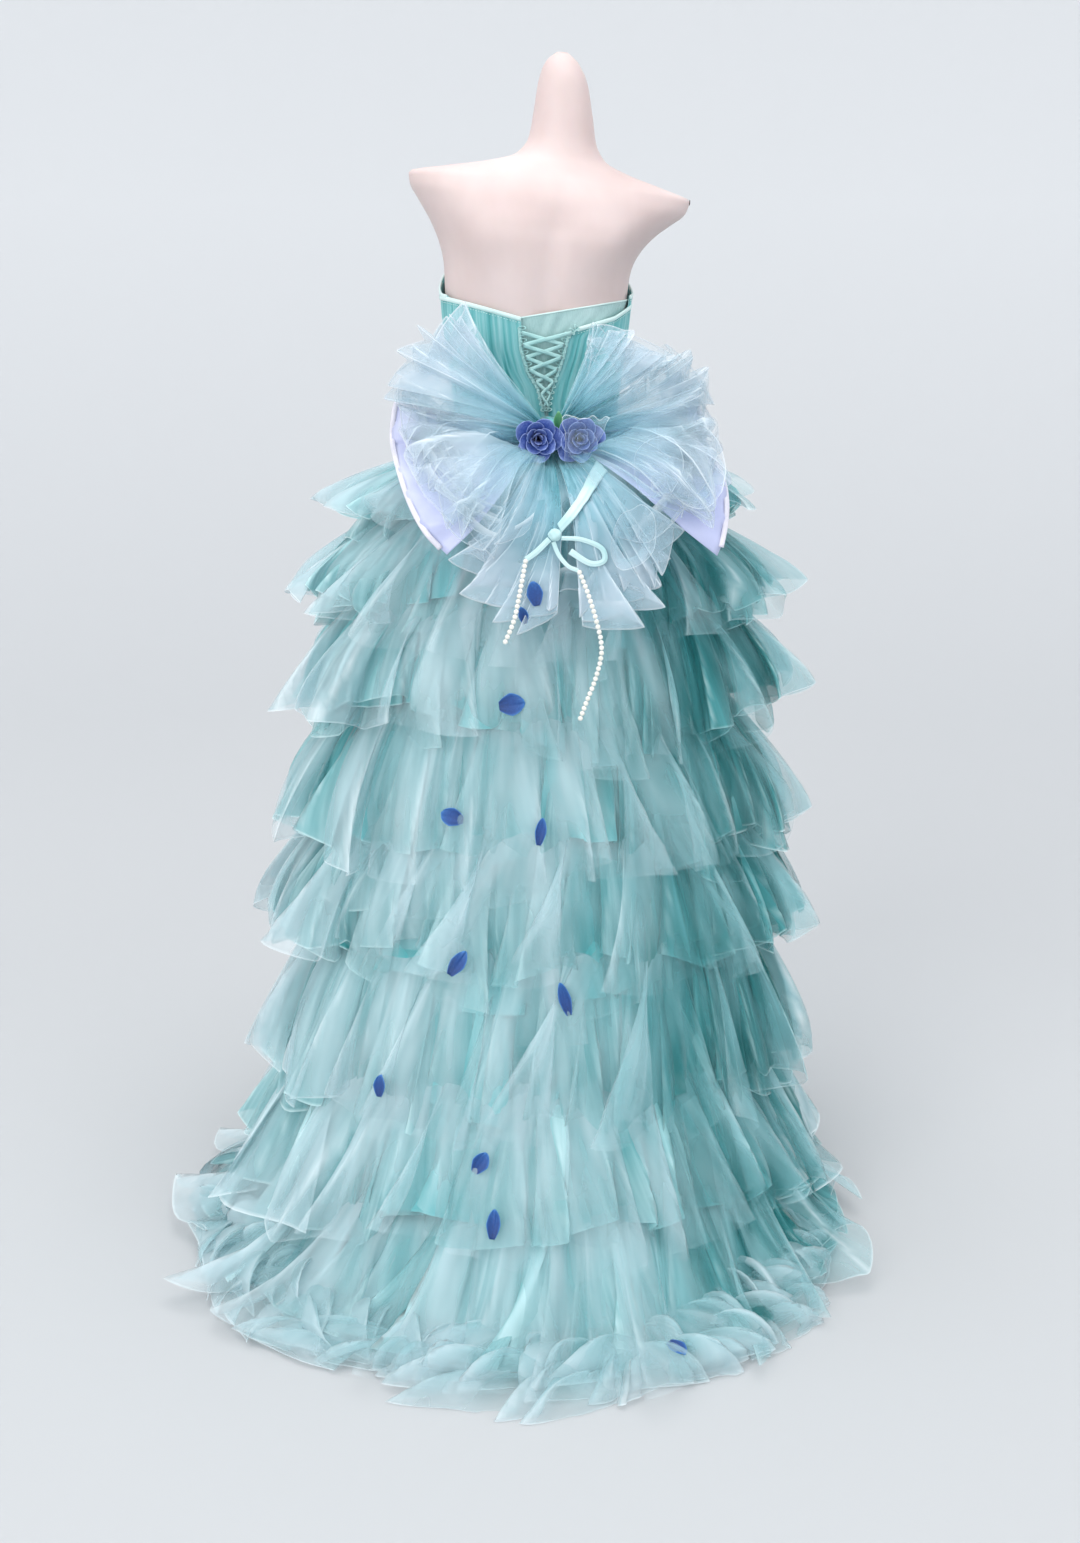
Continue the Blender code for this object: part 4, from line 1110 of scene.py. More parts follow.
def stitch_repeater(spacing: float, length: float, thread: float, material: Material) -> Repeater:
    """Short raised stitches along a seam."""
    tree = Repeater("seam_stitches", {"Spacing": spacing, "Length": length, "Thread": thread})
    points, rotation = tree.along("Spacing")
    bead = tree.add("GeometryNodeMeshUVSphere", {"Segments": 6, "Rings": 4, "Radius": 1.0})
    across = tree.given.outputs["Thread"]
    size = tree.feed(tree.add("ShaderNodeCombineXYZ"), X=tree.given.outputs["Length"], Y=across, Z=across)
    shaped = tree.feed(tree.add("GeometryNodeTransform"), Geometry=bead.outputs["Mesh"], Scale=size)
    tree.finish(points, rotation, shaped, material)
    return tree


# Studio


@dataclass(frozen=True)
class Lamp:
    """A soft light: where it stands, what it aims at, and its size, power and colour."""

    name: str
    place: Colour
    aim: Colour
    size: float
    power: float
    colour: Colour


LAMPS = (
    Lamp("key", (5.2, 6.7, 4.4), (0.0, 0.1, 0.9), 4.8, 290.0, (1.0, 0.985, 0.97)),
    Lamp("fill", (-6.4, 5.2, 2.8), (0.0, 0.1, 0.8), 5.2, 95.0, (0.94, 0.97, 1.0)),
    Lamp("top", (0.0, 0.6, 4.4), (0.0, 0.0, 0.8), 3.0, 75.0, (1.0, 1.0, 1.0)),
)


@dataclass
class Studio:
    """Camera at the photograph's angle, pale floor and soft lights."""

    distance: float = 2.6
    turn_deg: float = 6.0
    height: float = 1.25
    tilt_deg: float = 14.0
    focal_px: float = 1816.0
    axis_px: float = 536.0
    floor_radius: float = 12.0
    wall_height: float = 8.0
    world_strength: float = 0.97

    def camera(self) -> None:
        """Place the camera behind the gown."""
        turn = math.radians(self.turn_deg)
        tilt = math.radians(self.tilt_deg)
        side = Vector((-math.cos(turn), math.sin(turn), 0.0))
        ahead = Vector((-math.sin(turn) * math.cos(tilt), -math.cos(turn) * math.cos(tilt), -math.sin(tilt)))
        up = side.cross(ahead)
        data = bpy.data.cameras.new("photo_camera")
        data.sensor_fit = "VERTICAL"
        data.sensor_height = 24.0
        data.lens = data.sensor_height * self.focal_px / PHOTO_HEIGHT
        data.shift_x = (PHOTO_WIDTH / 2 - self.axis_px) / PHOTO_HEIGHT
        data.clip_end = 60.0
        made = in_scene("photo_camera", data)
        place = Vector((self.distance * math.sin(turn), self.distance * math.cos(turn), self.height))
        made.matrix_world = Matrix.Translation(place) @ Matrix((side, up, -ahead)).transposed().to_4x4()
        bpy.context.scene.camera = made

    def lamp(self, plan: Lamp) -> None:
        """One square soft light."""
        data = bpy.data.lights.new(plan.name, "AREA")
        data.size = plan.size
        data.energy = plan.power
        data.color = plan.colour
        made = in_scene(plan.name, data)
        made.location = plan.place
        made.rotation_euler = (Vector(plan.aim) - Vector(plan.place)).to_track_quat("-Z", "Y").to_euler()

    def lights(self) -> None:
        """A large key from the picture's left, a fill and a top light."""
        for lamp in LAMPS:
            self.lamp(lamp)
        world = bpy.data.worlds.new("studio_air")
        world.use_nodes = True
        air = world.node_tree.nodes["Background"]
        air.inputs["Color"].default_value = (0.93, 0.96, 1.0, 1.0)
        air.inputs["Strength"].default_value = self.world_strength
        bpy.context.scene.world = world

    def floor(self, material: Material) -> None:
        """A round floor that turns up into a wall all round."""
        angle = turned(96)
        radius = [0.01, 0.8, 1.6, 3.4]
        height = [0.0] * 4
        bend_radius = self.floor_radius - radius[-1]
        for step in range(1, 21):
            bend = math.pi / 2 * step / 20
            radius.append(self.floor_radius - bend_radius * (1 - math.sin(bend)))
            height.append(bend_radius * (1 - math.cos(bend)))
        radius.append(self.floor_radius)
        height.append(self.wall_height)
        ring = np.array(radius)[:, None]
        points = grid_of(ring * np.cos(angle), ring * np.sin(angle), np.array(height)[:, None])
        made = grid_mesh("studio_floor", points[::-1], True)
        made.data.materials.append(material)

    def build(self, material: Material) -> None:
        """Everything round the gown."""
        self.camera()
        self.lights()
        self.floor(material)
        scene = bpy.context.scene
        scene.view_settings.view_transform = "Standard"
        scene.cycles.transparent_max_bounces = 20


# Pearls


PEARL_ROUTES = {
    "pearls_left": ((0.0496, 0.3476, 0.9580), (0.054, 0.357, 0.940), (0.060, 0.368, 0.915),
                    (0.067, 0.376, 0.888), (0.078, 0.380, 0.863)),
    "pearls_right": ((-0.0176, 0.3511, 0.9438), (-0.027, 0.364, 0.918), (-0.037, 0.376, 0.882),
                     (-0.042, 0.383, 0.850), (-0.034, 0.385, 0.815), (-0.022, 0.387, 0.785),
                     (-0.015, 0.388, 0.766)),
}


@dataclass
class PearlStrings:
    """Two short strings that hang from the ribbon's ends."""

    diameter: float = 0.0065

    def build(self, finishes: Finishes) -> None:
        """Make both strings and hide the imported ones."""
        beads = bead_repeater(self.diameter, finishes.pearl)
        for name, places in PEARL_ROUTES.items():
            length = route_length(vectors(places))
            route = route_through(places, max(15, round(length / (2 * self.diameter))))
            made = beads.run(name + "_beads", route, [Vector((0.0, 1.0, 0.0))] * len(route))
            settle(made, finishes.pearl, Slot.PEARL, name)


# Dress form


@dataclass(frozen=True)
class FormRing:
    """A level ring of the torso: half width, reaches to -Y and +Y, and its shift to +X."""

    z: float
    half: float
    front: float
    back: float
    shift: float


FORM_RINGS = (
    FormRing(0.900, 0.100, 0.075, 0.085, 0.0), FormRing(0.980, 0.132, 0.095, 0.112, 0.0),
    FormRing(1.040, 0.124, 0.090, 0.104, 0.0), FormRing(1.100, 0.108, 0.084, 0.096, 0.0),
    FormRing(1.160, 0.113, 0.094, 0.096, 0.0), FormRing(1.220, 0.121, 0.114, 0.100, 0.0),
    FormRing(1.260, 0.125, 0.124, 0.103, 0.0), FormRing(1.295, 0.127, 0.120, 0.105, -0.001),
    FormRing(1.320, 0.130, 0.110, 0.106, -0.003), FormRing(1.345, 0.139, 0.098, 0.106, -0.006),
    FormRing(1.370, 0.155, 0.085, 0.103, -0.010), FormRing(1.390, 0.173, 0.074, 0.097, -0.014),
    FormRing(1.410, 0.190, 0.062, 0.088, -0.018), FormRing(1.425, 0.193, 0.052, 0.078, -0.020),
    FormRing(1.437, 0.150, 0.046, 0.068, -0.025), FormRing(1.449, 0.098, 0.043, 0.060, -0.030),
    FormRing(1.462, 0.062, 0.040, 0.053, -0.034), FormRing(1.485, 0.046, 0.037, 0.046, -0.036),
    FormRing(1.520, 0.040, 0.033, 0.040, -0.037), FormRing(1.560, 0.033, 0.028, 0.033, -0.037),
    FormRing(1.585, 0.022, 0.019, 0.021, -0.036), FormRing(1.597, 0.008, 0.007, 0.008, -0.036),
)


@dataclass
class DressForm:
    """The limbless torso and its stand."""

    tilt: float = 0.097
    tilt_start_z: float = 1.30
    tilt_full_z: float = 1.40
    fixing_angle: float = math.pi - 0.10
    fixing_z: float = 1.4235

    def size(self, z: Array) -> dict[str, Array]:
        """Half width, reaches and shift at heights."""
        levels = [ring.z for ring in FORM_RINGS]
        return {name: eased(levels, [getattr(ring, name) for ring in FORM_RINGS], z)
                for name in ("half", "front", "back", "shift")}

    def points(self, angle: Array, z: Array, out: Array) -> Array:
        """Points on the form's surface, moved outwards.

        Args:
            angle: The angle of each point.
            z: Its height before the shoulders' tilt.
            out: How far out it is moved.

        Returns:
            An array of points with x, y and z last.
        """
        size = self.size(z)
        x, y = oval(size["half"], size["front"], size["back"], 0.0, angle, out)
        tilt = self.tilt * np.clip((z - self.tilt_start_z) / (self.tilt_full_z - self.tilt_start_z), 0.0, 1.0)
        return grid_of(x + size["shift"], y, z + tilt * x)

    def angle_of_x(self, z: Array, x: Array) -> Array:
        """Angle on the back at which the surface reaches an x."""
        size = self.size(z)
        return np.arccos(np.clip((x - size["shift"]) / size["half"], -1.0, 1.0))

    def relief(self, angle: Array, z: Array) -> Array:
        """Soft shoulder blades and a shallow line down the middle of the back."""
        blade = 0.0
        for turn, height, tall, wide in ((0.95, 1.355, 0.040, 0.34), (2.19, 1.350, 0.040, 0.34)):
            blade = blade + 0.0085 * np.exp(-((angle - turn) / wide) ** 2 - ((z - height) / tall) ** 2)
        spine = -0.0070 * np.exp(-((angle - 1.60) / 0.16) ** 2) * smoothstep((z - 1.20) / 0.06) * smoothstep(
            (1.41 - z) / 0.05)
        return blade + spine

    def build(self, finishes: Finishes) -> None:
        """Make the torso and give the stand its steel."""
        angle = turned(128)
        z = np.concatenate([np.linspace(FORM_RINGS[0].z, 1.30, 30), np.linspace(1.304, 1.47, 44),
                            np.linspace(1.475, FORM_RINGS[-1].z, 28)])[:, None]
        points = self.points(angle, z, self.relief(angle, z))
        tailor("torso_shell", points[::-1], finishes.shell, Slot.FORM, "form_torso", closed=True, filled=True)
        self.dimple(finishes)
        for node in ("stand_base", "stand_pole"):
            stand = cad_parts[node]
            for place in range(max(1, len(stand.material_slots))):
                if not stand.material_slots:
                    stand.data.materials.append(finishes.metal)
                stand.material_slots[place].material = finishes.metal

    def dimple(self, finishes: Finishes) -> None:
        """The small fixing hole at the end of the right shoulder: a shallow dish painted dark for its shade.
        """
        turn, z = np.array(self.fixing_angle), np.array(self.fixing_z)
        centre, above = vectors([self.points(turn, z, np.array(out)) for out in (0.0002, 0.01)])
        outward = (above - centre).normalized()
        angle = turned(20)
        side = outward.orthogonal().normalized()
        radius = np.array([0.0001, 0.0018, 0.0032, 0.0040])[:, None]
        rise = np.array([-0.0002, 0.0, 0.0004, -0.0006])[:, None]
        points = placed(centre, (side, outward.cross(side), outward),
                        (radius * np.cos(angle), radius * np.sin(angle), rise))
        tailor("shoulder_fixing", points, finishes.hollow, Slot.FORM, closed=True)


# Bodice and lacing


@dataclass
class Bodice:
    """Pleated net over satin, with a pale bound top edge and an open laced back."""

    form: DressForm
    gap: float = 0.0026
    wall: float = 0.0018
    waist_z: float = 1.085
    seam_angle: float = math.radians(18)
    left_levels: Sequence[float] = (1.250, 1.210, 1.180, 1.160, 1.110, 1.060)
    left_x: Sequence[float] = (0.030, 0.027, 0.018, 0.006, -0.0042, -0.0042)
    right_levels: Sequence[float] = (1.240, 1.227, 1.200, 1.167, 1.140, 1.060)
    right_x: Sequence[float] = (-0.045, -0.028, -0.022, -0.012, -0.0058, -0.0058)
    top_x: Sequence[float] = (-0.125, -0.095, -0.045, 0.030, 0.080, 0.127)
    top_z: Sequence[float] = (1.269, 1.252, 1.238, 1.251, 1.266, 1.280)
    peak_angle: float = math.radians(28)
    panel_levels: Sequence[float] = (1.274, 1.255, 1.235, 1.210, 1.180, 1.150, 1.105)
    panel_x: Sequence[float] = (-0.1225, -0.113, -0.086, -0.060, -0.044, -0.028, -0.016)
    panel_top_left: float = 1.2495
    panel_top_right: float = 1.2750
    panel_low_z: float = 1.105
    cup_low_z: float = 1.300
    cup_rise: float = 0.038
    cup_top_z: float = 1.338
    side_top_z: float = 1.281
    roll_drop: float = 0.0018
    roll_tall: float = 0.0032
    roll_deep: float = 0.0016
    roll_out: float = 0.0012
    stitch_drop: float = 0.0068
    stitch_out: float = 0.0008
    stitch_spacing: float = 0.0042
    stitch_length: float = 0.0014
    stitch_thread: float = 0.00045
    left_span: tuple[float, float] = (0.127, 0.030)
    right_span: tuple[float, float] = (-0.045, -0.125)

    def spring(self, z: Array) -> Array:
        """How far the bodice stands off at a height."""
        return 0.0015 * np.clip((z - 1.16) / 0.14, 0.0, 1.0)

    def back_top(self, x: Array) -> Array:
        """Height of the back's top edge."""
        return np.interp(x, self.top_x, self.top_z)

    def front_top(self, share: Array) -> Array:
        """Height of the sweetheart edge from one side seam to the other."""
        swing = math.pi + 2 * self.seam_angle
        off = np.abs(share - 0.5) * swing
        rise = self.cup_low_z + self.cup_rise * np.sin(np.clip(off / self.peak_angle, 0, 1) * math.pi / 2)
        fall = np.clip((off - self.peak_angle) / (swing / 2 - self.peak_angle), 0, 1)
        down = self.side_top_z + (self.cup_top_z - self.side_top_z) * (1 + np.cos(fall * math.pi)) / 2
        return np.where(off < self.peak_angle, rise, down)

    def panel(self, angles: Callable[[Array], tuple[Array, Array]], tops: Callable[[Array], Array],
              columns: int, seed: int) -> tuple[Array, Marks]:
        """A pleated panel between two angle lines.

        Args:
            angles: The first and last angle at heights.
            tops: The top edge's height by share from the first line to the last.
            columns: Points across.
            seed: What makes its pleats its own.

        Returns:
            Its grid of points and their marks.
        """
        chance = np.random.default_rng(seed)
        share, fall = spaced(columns, 26)
        z = tops(share) + (self.waist_z - tops(share)) * fall
        start, end = angles(z)
        angle = start + (end - start) * share
        drift = 0.03 * ring_noise(fall * 0.5 + 0.1, 5, chance)
        ribs = (ring_noise(share + drift, columns // 5, chance) * 0.6
                + ring_noise(share - drift, columns // 9, chance))
        sharp = 1.0 - np.abs(ribs)
        raised = 0.0011 * sharp + 0.0004
        points = self.form.points(angle, z, self.gap + self.wall + self.spring(z) + raised)
        # Painted shade: the tone is paler on the raised pleats and darker between them. It also darkens
        # towards the waist.
        tone = 0.30 + 0.50 * sharp - 0.16 * fall
        rim = np.where(np.abs(share - np.round(share)) < 0.0015, 0.4, 0.0)
        return points, {"tone": tone, "rim": rim, "cover": 1.0}

    def build(self, finishes: Finishes) -> None:
        """The panels, the bindings and their stitches."""
        seam = self.seam_angle

        def left(z: Array) -> tuple[Array, Array]:
            """From the left side seam to the opening."""
            return seam + 0.0 * z, self.form.angle_of_x(z, rising(self.left_levels, self.left_x, z))

        def right(z: Array) -> tuple[Array, Array]:
            """From the opening to the right side seam."""
            first = self.form.angle_of_x(z, rising(self.right_levels, self.right_x, z))
            return first, math.pi - seam + 0.0 * z

        def front(z: Array) -> tuple[Array, Array]:
            """From one side seam to the other."""
            return math.pi - seam + 0.0 * z, TAU + seam + 0.0 * z

        for node, angles, tops, columns, seed in (
            ("bodice_back_left", left, lambda s: self.back_top(blend(*self.left_span, s)), 150, 3),
            ("bodice_back_right", right, lambda s: self.back_top(blend(*self.right_span, s)), 150, 4),
            ("bodice_front", front, self.front_top, 420, 5),
        ):
            points, marks = self.panel(angles, tops, columns, seed)
            tailor(node + "_cloth", points, finishes.bodice_satin, Slot.BODICE, node, layout=sheet_uv,
                   marks=marks, wall=BODICE_WALL, offset=-1.0, held=Held.STRETCHED, rests_on="torso_shell",
                   thin=4)
        self.bindings(finishes)
        self.inner_panel(finishes)

    def edge_line(self, node: str) -> tuple[Array, Array]:
        """Angles and heights of one piece of the top edge."""
        if node == "binding_front":
            share = np.linspace(0.0, 1.0, 240)
            angle = math.pi - self.seam_angle + share * (math.pi + 2 * self.seam_angle)
            return angle, self.front_top(share)
        x = np.linspace(*(self.left_span if node == "binding_left" else self.right_span), 90)
        z = self.back_top(x)
        angle = self.form.angle_of_x(z, x)
        if node == "binding_left":
            angle[0] = min(angle[0], self.seam_angle)
        return angle, z

    def bindings(self, finishes: Finishes) -> None:
        """A rolled binding on each top edge, with a row of stitches below it."""
        stitches = stitch_repeater(self.stitch_spacing, self.stitch_length, self.stitch_thread,
                                   finishes.binding)
        parts = []
        for node in ("binding_front", "binding_left", "binding_right"):
            angle, z = self.edge_line(node)
            out = self.gap + self.wall + self.roll_out + self.spring(z)
            rows = [self.form.points(angle, z - self.roll_drop + self.roll_tall * math.cos(step),
                                     out + self.roll_deep * math.sin(step)) for step in turned(10)[0]]
            tailor(node + "_roll", np.stack(rows, axis=1), finishes.binding, Slot.BINDING, node,
                   closed=True, filled=True)
            line = self.form.points(angle, z - self.stitch_drop, out + self.stitch_out)[::3]
            facing = line - self.form.points(angle, z - self.stitch_drop, out - 0.01)[::3]
            parts.append(stitches.run(node + "_stitches", vectors(line), vectors(facing)))
        settle(join("binding_stitches", parts), finishes.binding, Slot.BINDING)

    def inner_panel(self, finishes: Finishes) -> None:
        """The smooth panel behind the lacing, with the cloth bunched down its right side."""
        share, fall = spaced(70, 60)
        top = blend(self.panel_top_left, self.panel_top_right, share)
        z = blend(top, self.panel_low_z, fall)
        left = rising(self.left_levels, self.left_x, z) + 0.010
        right = rising(self.panel_levels, self.panel_x, z)
        angle = self.form.angle_of_x(z, blend(left, right, share))
        lean = share - 0.35 - 0.10 * fall
        folds = 0.0016 * np.exp(-(lean / 0.045) ** 2) + 0.0012 * np.exp(-((lean + 0.12) / 0.03) ** 2)
        short = np.exp(-((share - 0.62 + 0.2 * fall) / 0.03) ** 2)
        folds = folds + 0.0009 * short * np.exp(-(fall / 0.5) ** 2)
        folds = folds + 0.0004 * np.sin(share * 38 + fall * 9)
        points = self.form.points(angle, z, 0.0012 + folds)
        tailor("lacing_panel_cloth", points, finishes.mint_satin, Slot.MINT, "lacing_panel", layout=sheet_uv,
               wall=SATIN_WALL, held=Held.STRETCHED, rests_on="torso_shell")
        turn = turned(8).T
        rail = self.form.points(angle[:1], z[:1] + 0.0012 * np.cos(turn),
                                0.0016 + folds[:1] + 0.0012 * np.sin(turn))
        tailor("lacing_panel_edge", rail.transpose(1, 0, 2), finishes.binding, Slot.BINDING,
               closed=True, filled=True)


@dataclass
class Lacing:
    """Loop tapes on both edges of the back, and two ribbons crossed between them."""

    bodice: Bodice
    top_z: float = 1.232
    low_z: float = 1.135
    crossings: int = 6
    width: float = 0.0052
    loop_spacing: float = 0.0078
    loop_radius: float = 0.0036
    loop_thread: float = 0.0008
    loop_out: float = 0.0074
    tape_out: float = 0.0068
    tape_inner: float = 0.0048
    tape_width: float = 0.0040
    under_out: float = 0.0086
    over_out: float = 0.0098

    def edge(self, side: int, z: Array) -> Array:
        """The x of an edge at heights: side 1 is the left one."""
        bodice = self.bodice
        if side > 0:
            return rising(bodice.left_levels, bodice.left_x, z)
        return rising(bodice.right_levels, bodice.right_x, z)

    def on_back(self, x: Array, z: Array, out: float) -> Array:
        """Points over the back at places and a distance out."""
        form = self.bodice.form
        return form.points(form.angle_of_x(z, x), z, out + self.bodice.spring(z))

    def build(self, finishes: Finishes) -> None:
        """The tapes, the loops and the laces."""
        loops = loop_repeater(self.loop_spacing, self.loop_radius, self.loop_thread, finishes.lace_satin)
        for name, side in (("loop_tape_left", 1), ("loop_tape_right", -1)):
            z = np.linspace(self.top_z + 0.006, self.low_z - 0.004, 40)
            x = self.edge(side, z)
            narrow = np.clip(np.abs(x - HUB.x) / 0.012, 0.25, 1.0)
            rows = [self.on_back(x + side * (self.tape_inner - self.tape_width * step) * narrow, z,
                                 self.tape_out + 0.0004 * math.sin(step * 3))
                    for step in np.linspace(0.0, 1.0, 5)]
            tape = grid_mesh(name + "_band", np.array(rows), False)
            cloth_wall(tape, RIBBON_WALL)
            line = self.on_back(x - side * 0.0006, z, self.loop_out)
            facing = self.on_back(x, z, 0.02) - self.on_back(x, z, 0.0)
            ring = loops.run(name + "_rings", vectors(line), vectors(facing))
            bake(tape)
            settle(join(name + "_cloth", [tape, ring]), finishes.lace_satin, Slot.MINT, name)
        for name, start, out in (("lace_under", 1, self.under_out), ("lace_over", -1, self.over_out)):
            settle(self.lace(name, start, out), finishes.lace_satin, Slot.MINT, name)

    def lace(self, name: str, start: int, out: float) -> Piece:
        """One ribbon, from loop to loop down the opening, with a slight twist.

        Args:
            name: The node that it stands for.
            start: 1 to start at the left edge, -1 at the right.
            out: How far it lies off the form.

        Returns:
            The ribbon.
        """
        steps = 14
        middle = []
        for turn in range(self.crossings):
            side = start if turn % 2 == 0 else -start
            high = blend(self.top_z, self.low_z, turn / self.crossings)
            low = blend(self.top_z, self.low_z, (turn + 1) / self.crossings)
            first = float(self.edge(side, np.array(high)))
            last = float(self.edge(-side, np.array(low)))
            for step in range(steps):
                share = step / steps
                middle.append((blend(first, last, share), blend(high, low, share),
                               out + 0.0012 * math.sin(math.pi * share)))
        line = np.array(middle)
        rows = []
        for side in np.linspace(-1.0, 1.0, 5):
            twist = 0.0005 * np.sin(np.arange(len(line)) * 0.9) * side
            dome = 0.0005 * (1 - side ** 2)
            rows.append([self.on_back(np.array(x), np.array(z + side * self.width / 2), high + turn + dome)
                         for (x, z, high), turn in zip(line, twist)])
        made = grid_mesh(name + "_ribbon", np.array(rows), False)
        cloth_wall(made, SATIN_WALL)
        bake(made)
        return made


# Skirt


@dataclass
class Flounce:
    """One gathered tier: a dense lining and three looser layers of net over it."""

    tier: Tier
    number: int

    def waves(self) -> tuple[Array, Array, Array]:
        """Where each wave starts, how high its crest is and how much lower its hem hangs."""
        chance = random.Random(self.tier.name)
        count = self.tier.waves
        starts = [wave + chance.uniform(-0.16, 0.16) for wave in range(count)]
        crests = [chance.uniform(0.65, 1.0) for _ in range(count)]
        drops = [chance.uniform(-0.012, 0.012) for _ in range(count)]
        return np.array(starts), np.array(crests), np.array(drops)

    def wave(self, angle: Array, shift: Array, steep: float) -> tuple[Array, Array]:
        """Signed height of the waves, from -1 to 1, and the hem's drop.

        Args:
            angle: Angles round the gown.
            shift: How far each wave leans along the ring, in waves.
            steep: How boxy the folds are.

        Returns:
            The height and the drop at each angle.
        """
        starts, crests, drops = self.waves()
        count = self.tier.waves
        place = (angle / TAU * count + shift - starts[0]) % count + starts[0]
        ends = np.append(starts, starts[0] + count)
        index = np.clip(np.searchsorted(ends, place, side="right") - 1, 0, count - 1)
        share = (place - ends[index]) / (ends[index + 1] - ends[index])
        height = np.tanh(steep * np.sin(TAU * share)) / math.tanh(steep) * crests[index]
        nearby = np.where(share > 0.5, (index + 1) % count, (index - 1) % count)
        part = np.abs(share - 0.5)
        return height, drops[index] * (1 - part) + drops[nearby] * part

    def grid(self, layer: Layer) -> tuple[Array, Marks]:
        """Points and marks of one layer of net."""
        tier = self.tier
        chance = np.random.default_rng([self.number, layer.columns, int(layer.reach * 100)])
        angle = turned(layer.columns, SKIRT_START)
        turns = angle / TAU
        t = np.concatenate([np.linspace(0.0, 0.97, layer.rows), [0.984, 0.991, 1.0]])[:, None]
        behind = smoothstep((np.sin(angle) - 0.30) / 0.55)
        ahead = smoothstep((-np.sin(angle) - 0.40) / 0.50)
        sideways = np.abs(np.cos(angle)) ** 1.5
        late = np.clip((t - 0.62) / 0.38, 0.0, 1.0)
        reach = layer.reach * (1.0 - layer.hug * tier.hang * behind - 0.22 * ahead)
        size = self.sizes(t, reach, layer.stiff)
        count = int(tier.waves * layer.folds)
        big, shift, big_crest = ring_folds(count, 1.1, chance).read(turns + 0.01 * t)
        small, small_shift, _ = ring_folds(FINE_FOLDS, 0.9, chance).read(
            turns + 0.012 * ring_noise(turns, 9, chance) * t)
        height, drop = self.wave(angle, 0.30 * ring_noise(turns, 7, chance) * t, layer.steep)
        lean = 0.20 / tier.waves * ring_noise(turns, 5, chance) * height
        wide = tier.back_wave + (tier.side_wave - tier.back_wave) * sideways
        out = wide * height * t ** 1.3 * layer.gain * (1.0 - 0.3 * behind)
        out = out + layer.crease * (1.0 + 0.8 * sideways) * (big - 0.4) * t ** 1.1 + (0.0042 - 0.0022 * t) * (
            small - 0.4) * np.clip(t * 9, 0, 1) * np.clip(1.6 * layer.gather - t, 0.08, 1.0)
        curl = ring_noise(turns, tier.waves * 3, chance)
        out = out + 0.014 * layer.reach * curl * late ** 2
        longer = layer.extra * (0.7 + 0.6 * ring_noise(turns, 23, chance)) + 0.007 * curl + behind * (
            0.042 * ring_noise(turns, 11, chance) + 0.018 * ring_noise(turns, 31, chance))
        if tier.hem_z == 0.0:
            z = tier.top_z * (1 - t) ** 2.3 + 0.030 * np.maximum(height, 0.0) * t * (1.1 - t) * 2
            z = z + 0.010 * layer.reach + 0.022 * layer.reach * late * (0.5 + 0.5 * curl)
            z = np.maximum(z + 0.018 * big * t * (1.2 - t), FLOOR_GAP)
        else:
            sag = tier.dip * np.sin(angle) ** 2
            sag = sag + tier.side_drop * sideways * (1.2 - layer.reach * 0.6)
            z = tier.top_z + (tier.hem_z + drop - sag - longer - tier.top_z) * t
            z = z + 0.028 * layer.reach * late * (big - 0.5) * (0.3 + 0.7 * sideways)
            z = np.maximum(z, HEM_GAP)
        slide = lean * t + shift * t ** 0.8 + small_shift * 0.8 * np.clip(1.6 * layer.gather - t, 0.05, 1.0)
        points = ring_points(size, angle + TAU * slide, out, z)
        # Painted shade and highlight: the tone is paler on the crests of the waves and folds and darker in
        # the troughs between them. It also grows paler towards the hem.
        fold = 0.5 + 0.5 * height * np.clip(t * 1.5, 0.2, 1.0)
        tone = 0.30 + layer.tone + 0.26 * fold + 0.20 * (big - 0.4) + 0.14 * t
        tone = tone + 0.10 * (small - 0.4) * np.clip(1.6 * layer.gather - t, 0.1, 1.0)
        # Painted shadow of the tier above, darkening the top of this one, weaker at the back.
        tone = tone - (0.26 - 0.21 * behind) * np.exp(-(t / 0.10) ** 2)
        # Painted shade over the wearer's right side (-X), away from the front.
        shade = smoothstep((-np.cos(angle) - 0.08) / 0.6) * smoothstep((np.sin(angle) + 0.5) / 0.8)
        tone = tone - 0.60 * shade
        # Painted highlight: the rim mark whitens the hem and the crests of the big folds, more at the sides,
        # and thickens the net there. soft dims the hem's highlight at the back.
        soft = 1.0 - layer.fade * behind
        rim = np.where(t > 0.995, 0.9, 0.0) * soft
        rim[-2] = 0.35 * soft[0]
        rim = np.maximum(rim, (0.30 + 0.35 * sideways) * smoothstep((big_crest - 0.90) / 0.10)
                         * smoothstep((t - 0.2) / 0.5) * layer.reach)
        cover = layer.cover_top + (layer.cover_hem - layer.cover_top) * smoothstep(t * 1.25)
        cover = (cover + 0.14 * (big - 0.4) + 0.10 * sideways * t * layer.reach
                 - 0.24 * behind * late * layer.reach)
        return points, {"tone": tone, "rim": rim, "cover": cover}

    def sizes(self, t: Array, reach: Array, stiff: float) -> dict[str, Array]:
        """Ring sizes from the gathered top to the hem, between the underskirt and the full spread."""
        tier = self.tier
        spread = 1.0 - (1.0 - t) ** max(1.0, tier.swell * stiff)
        core = core_section(np.maximum(blend(tier.top_z, tier.hem_z, t), CORE_LOW_Z))
        top = core_section(np.array(tier.top_z))
        size = {"centre": core["centre"] + (top["centre"] * (1 - spread) + tier.centre * spread
                                            - core["centre"]) * reach}
        for name in ("left", "right", "front", "back"):
            outer = (top[name] + 0.003) * (1 - spread) + getattr(tier, name) * spread
            inner = core[name] + 0.005 + 0.012 * t
            size[name] = blend(inner, outer, reach)
        return size

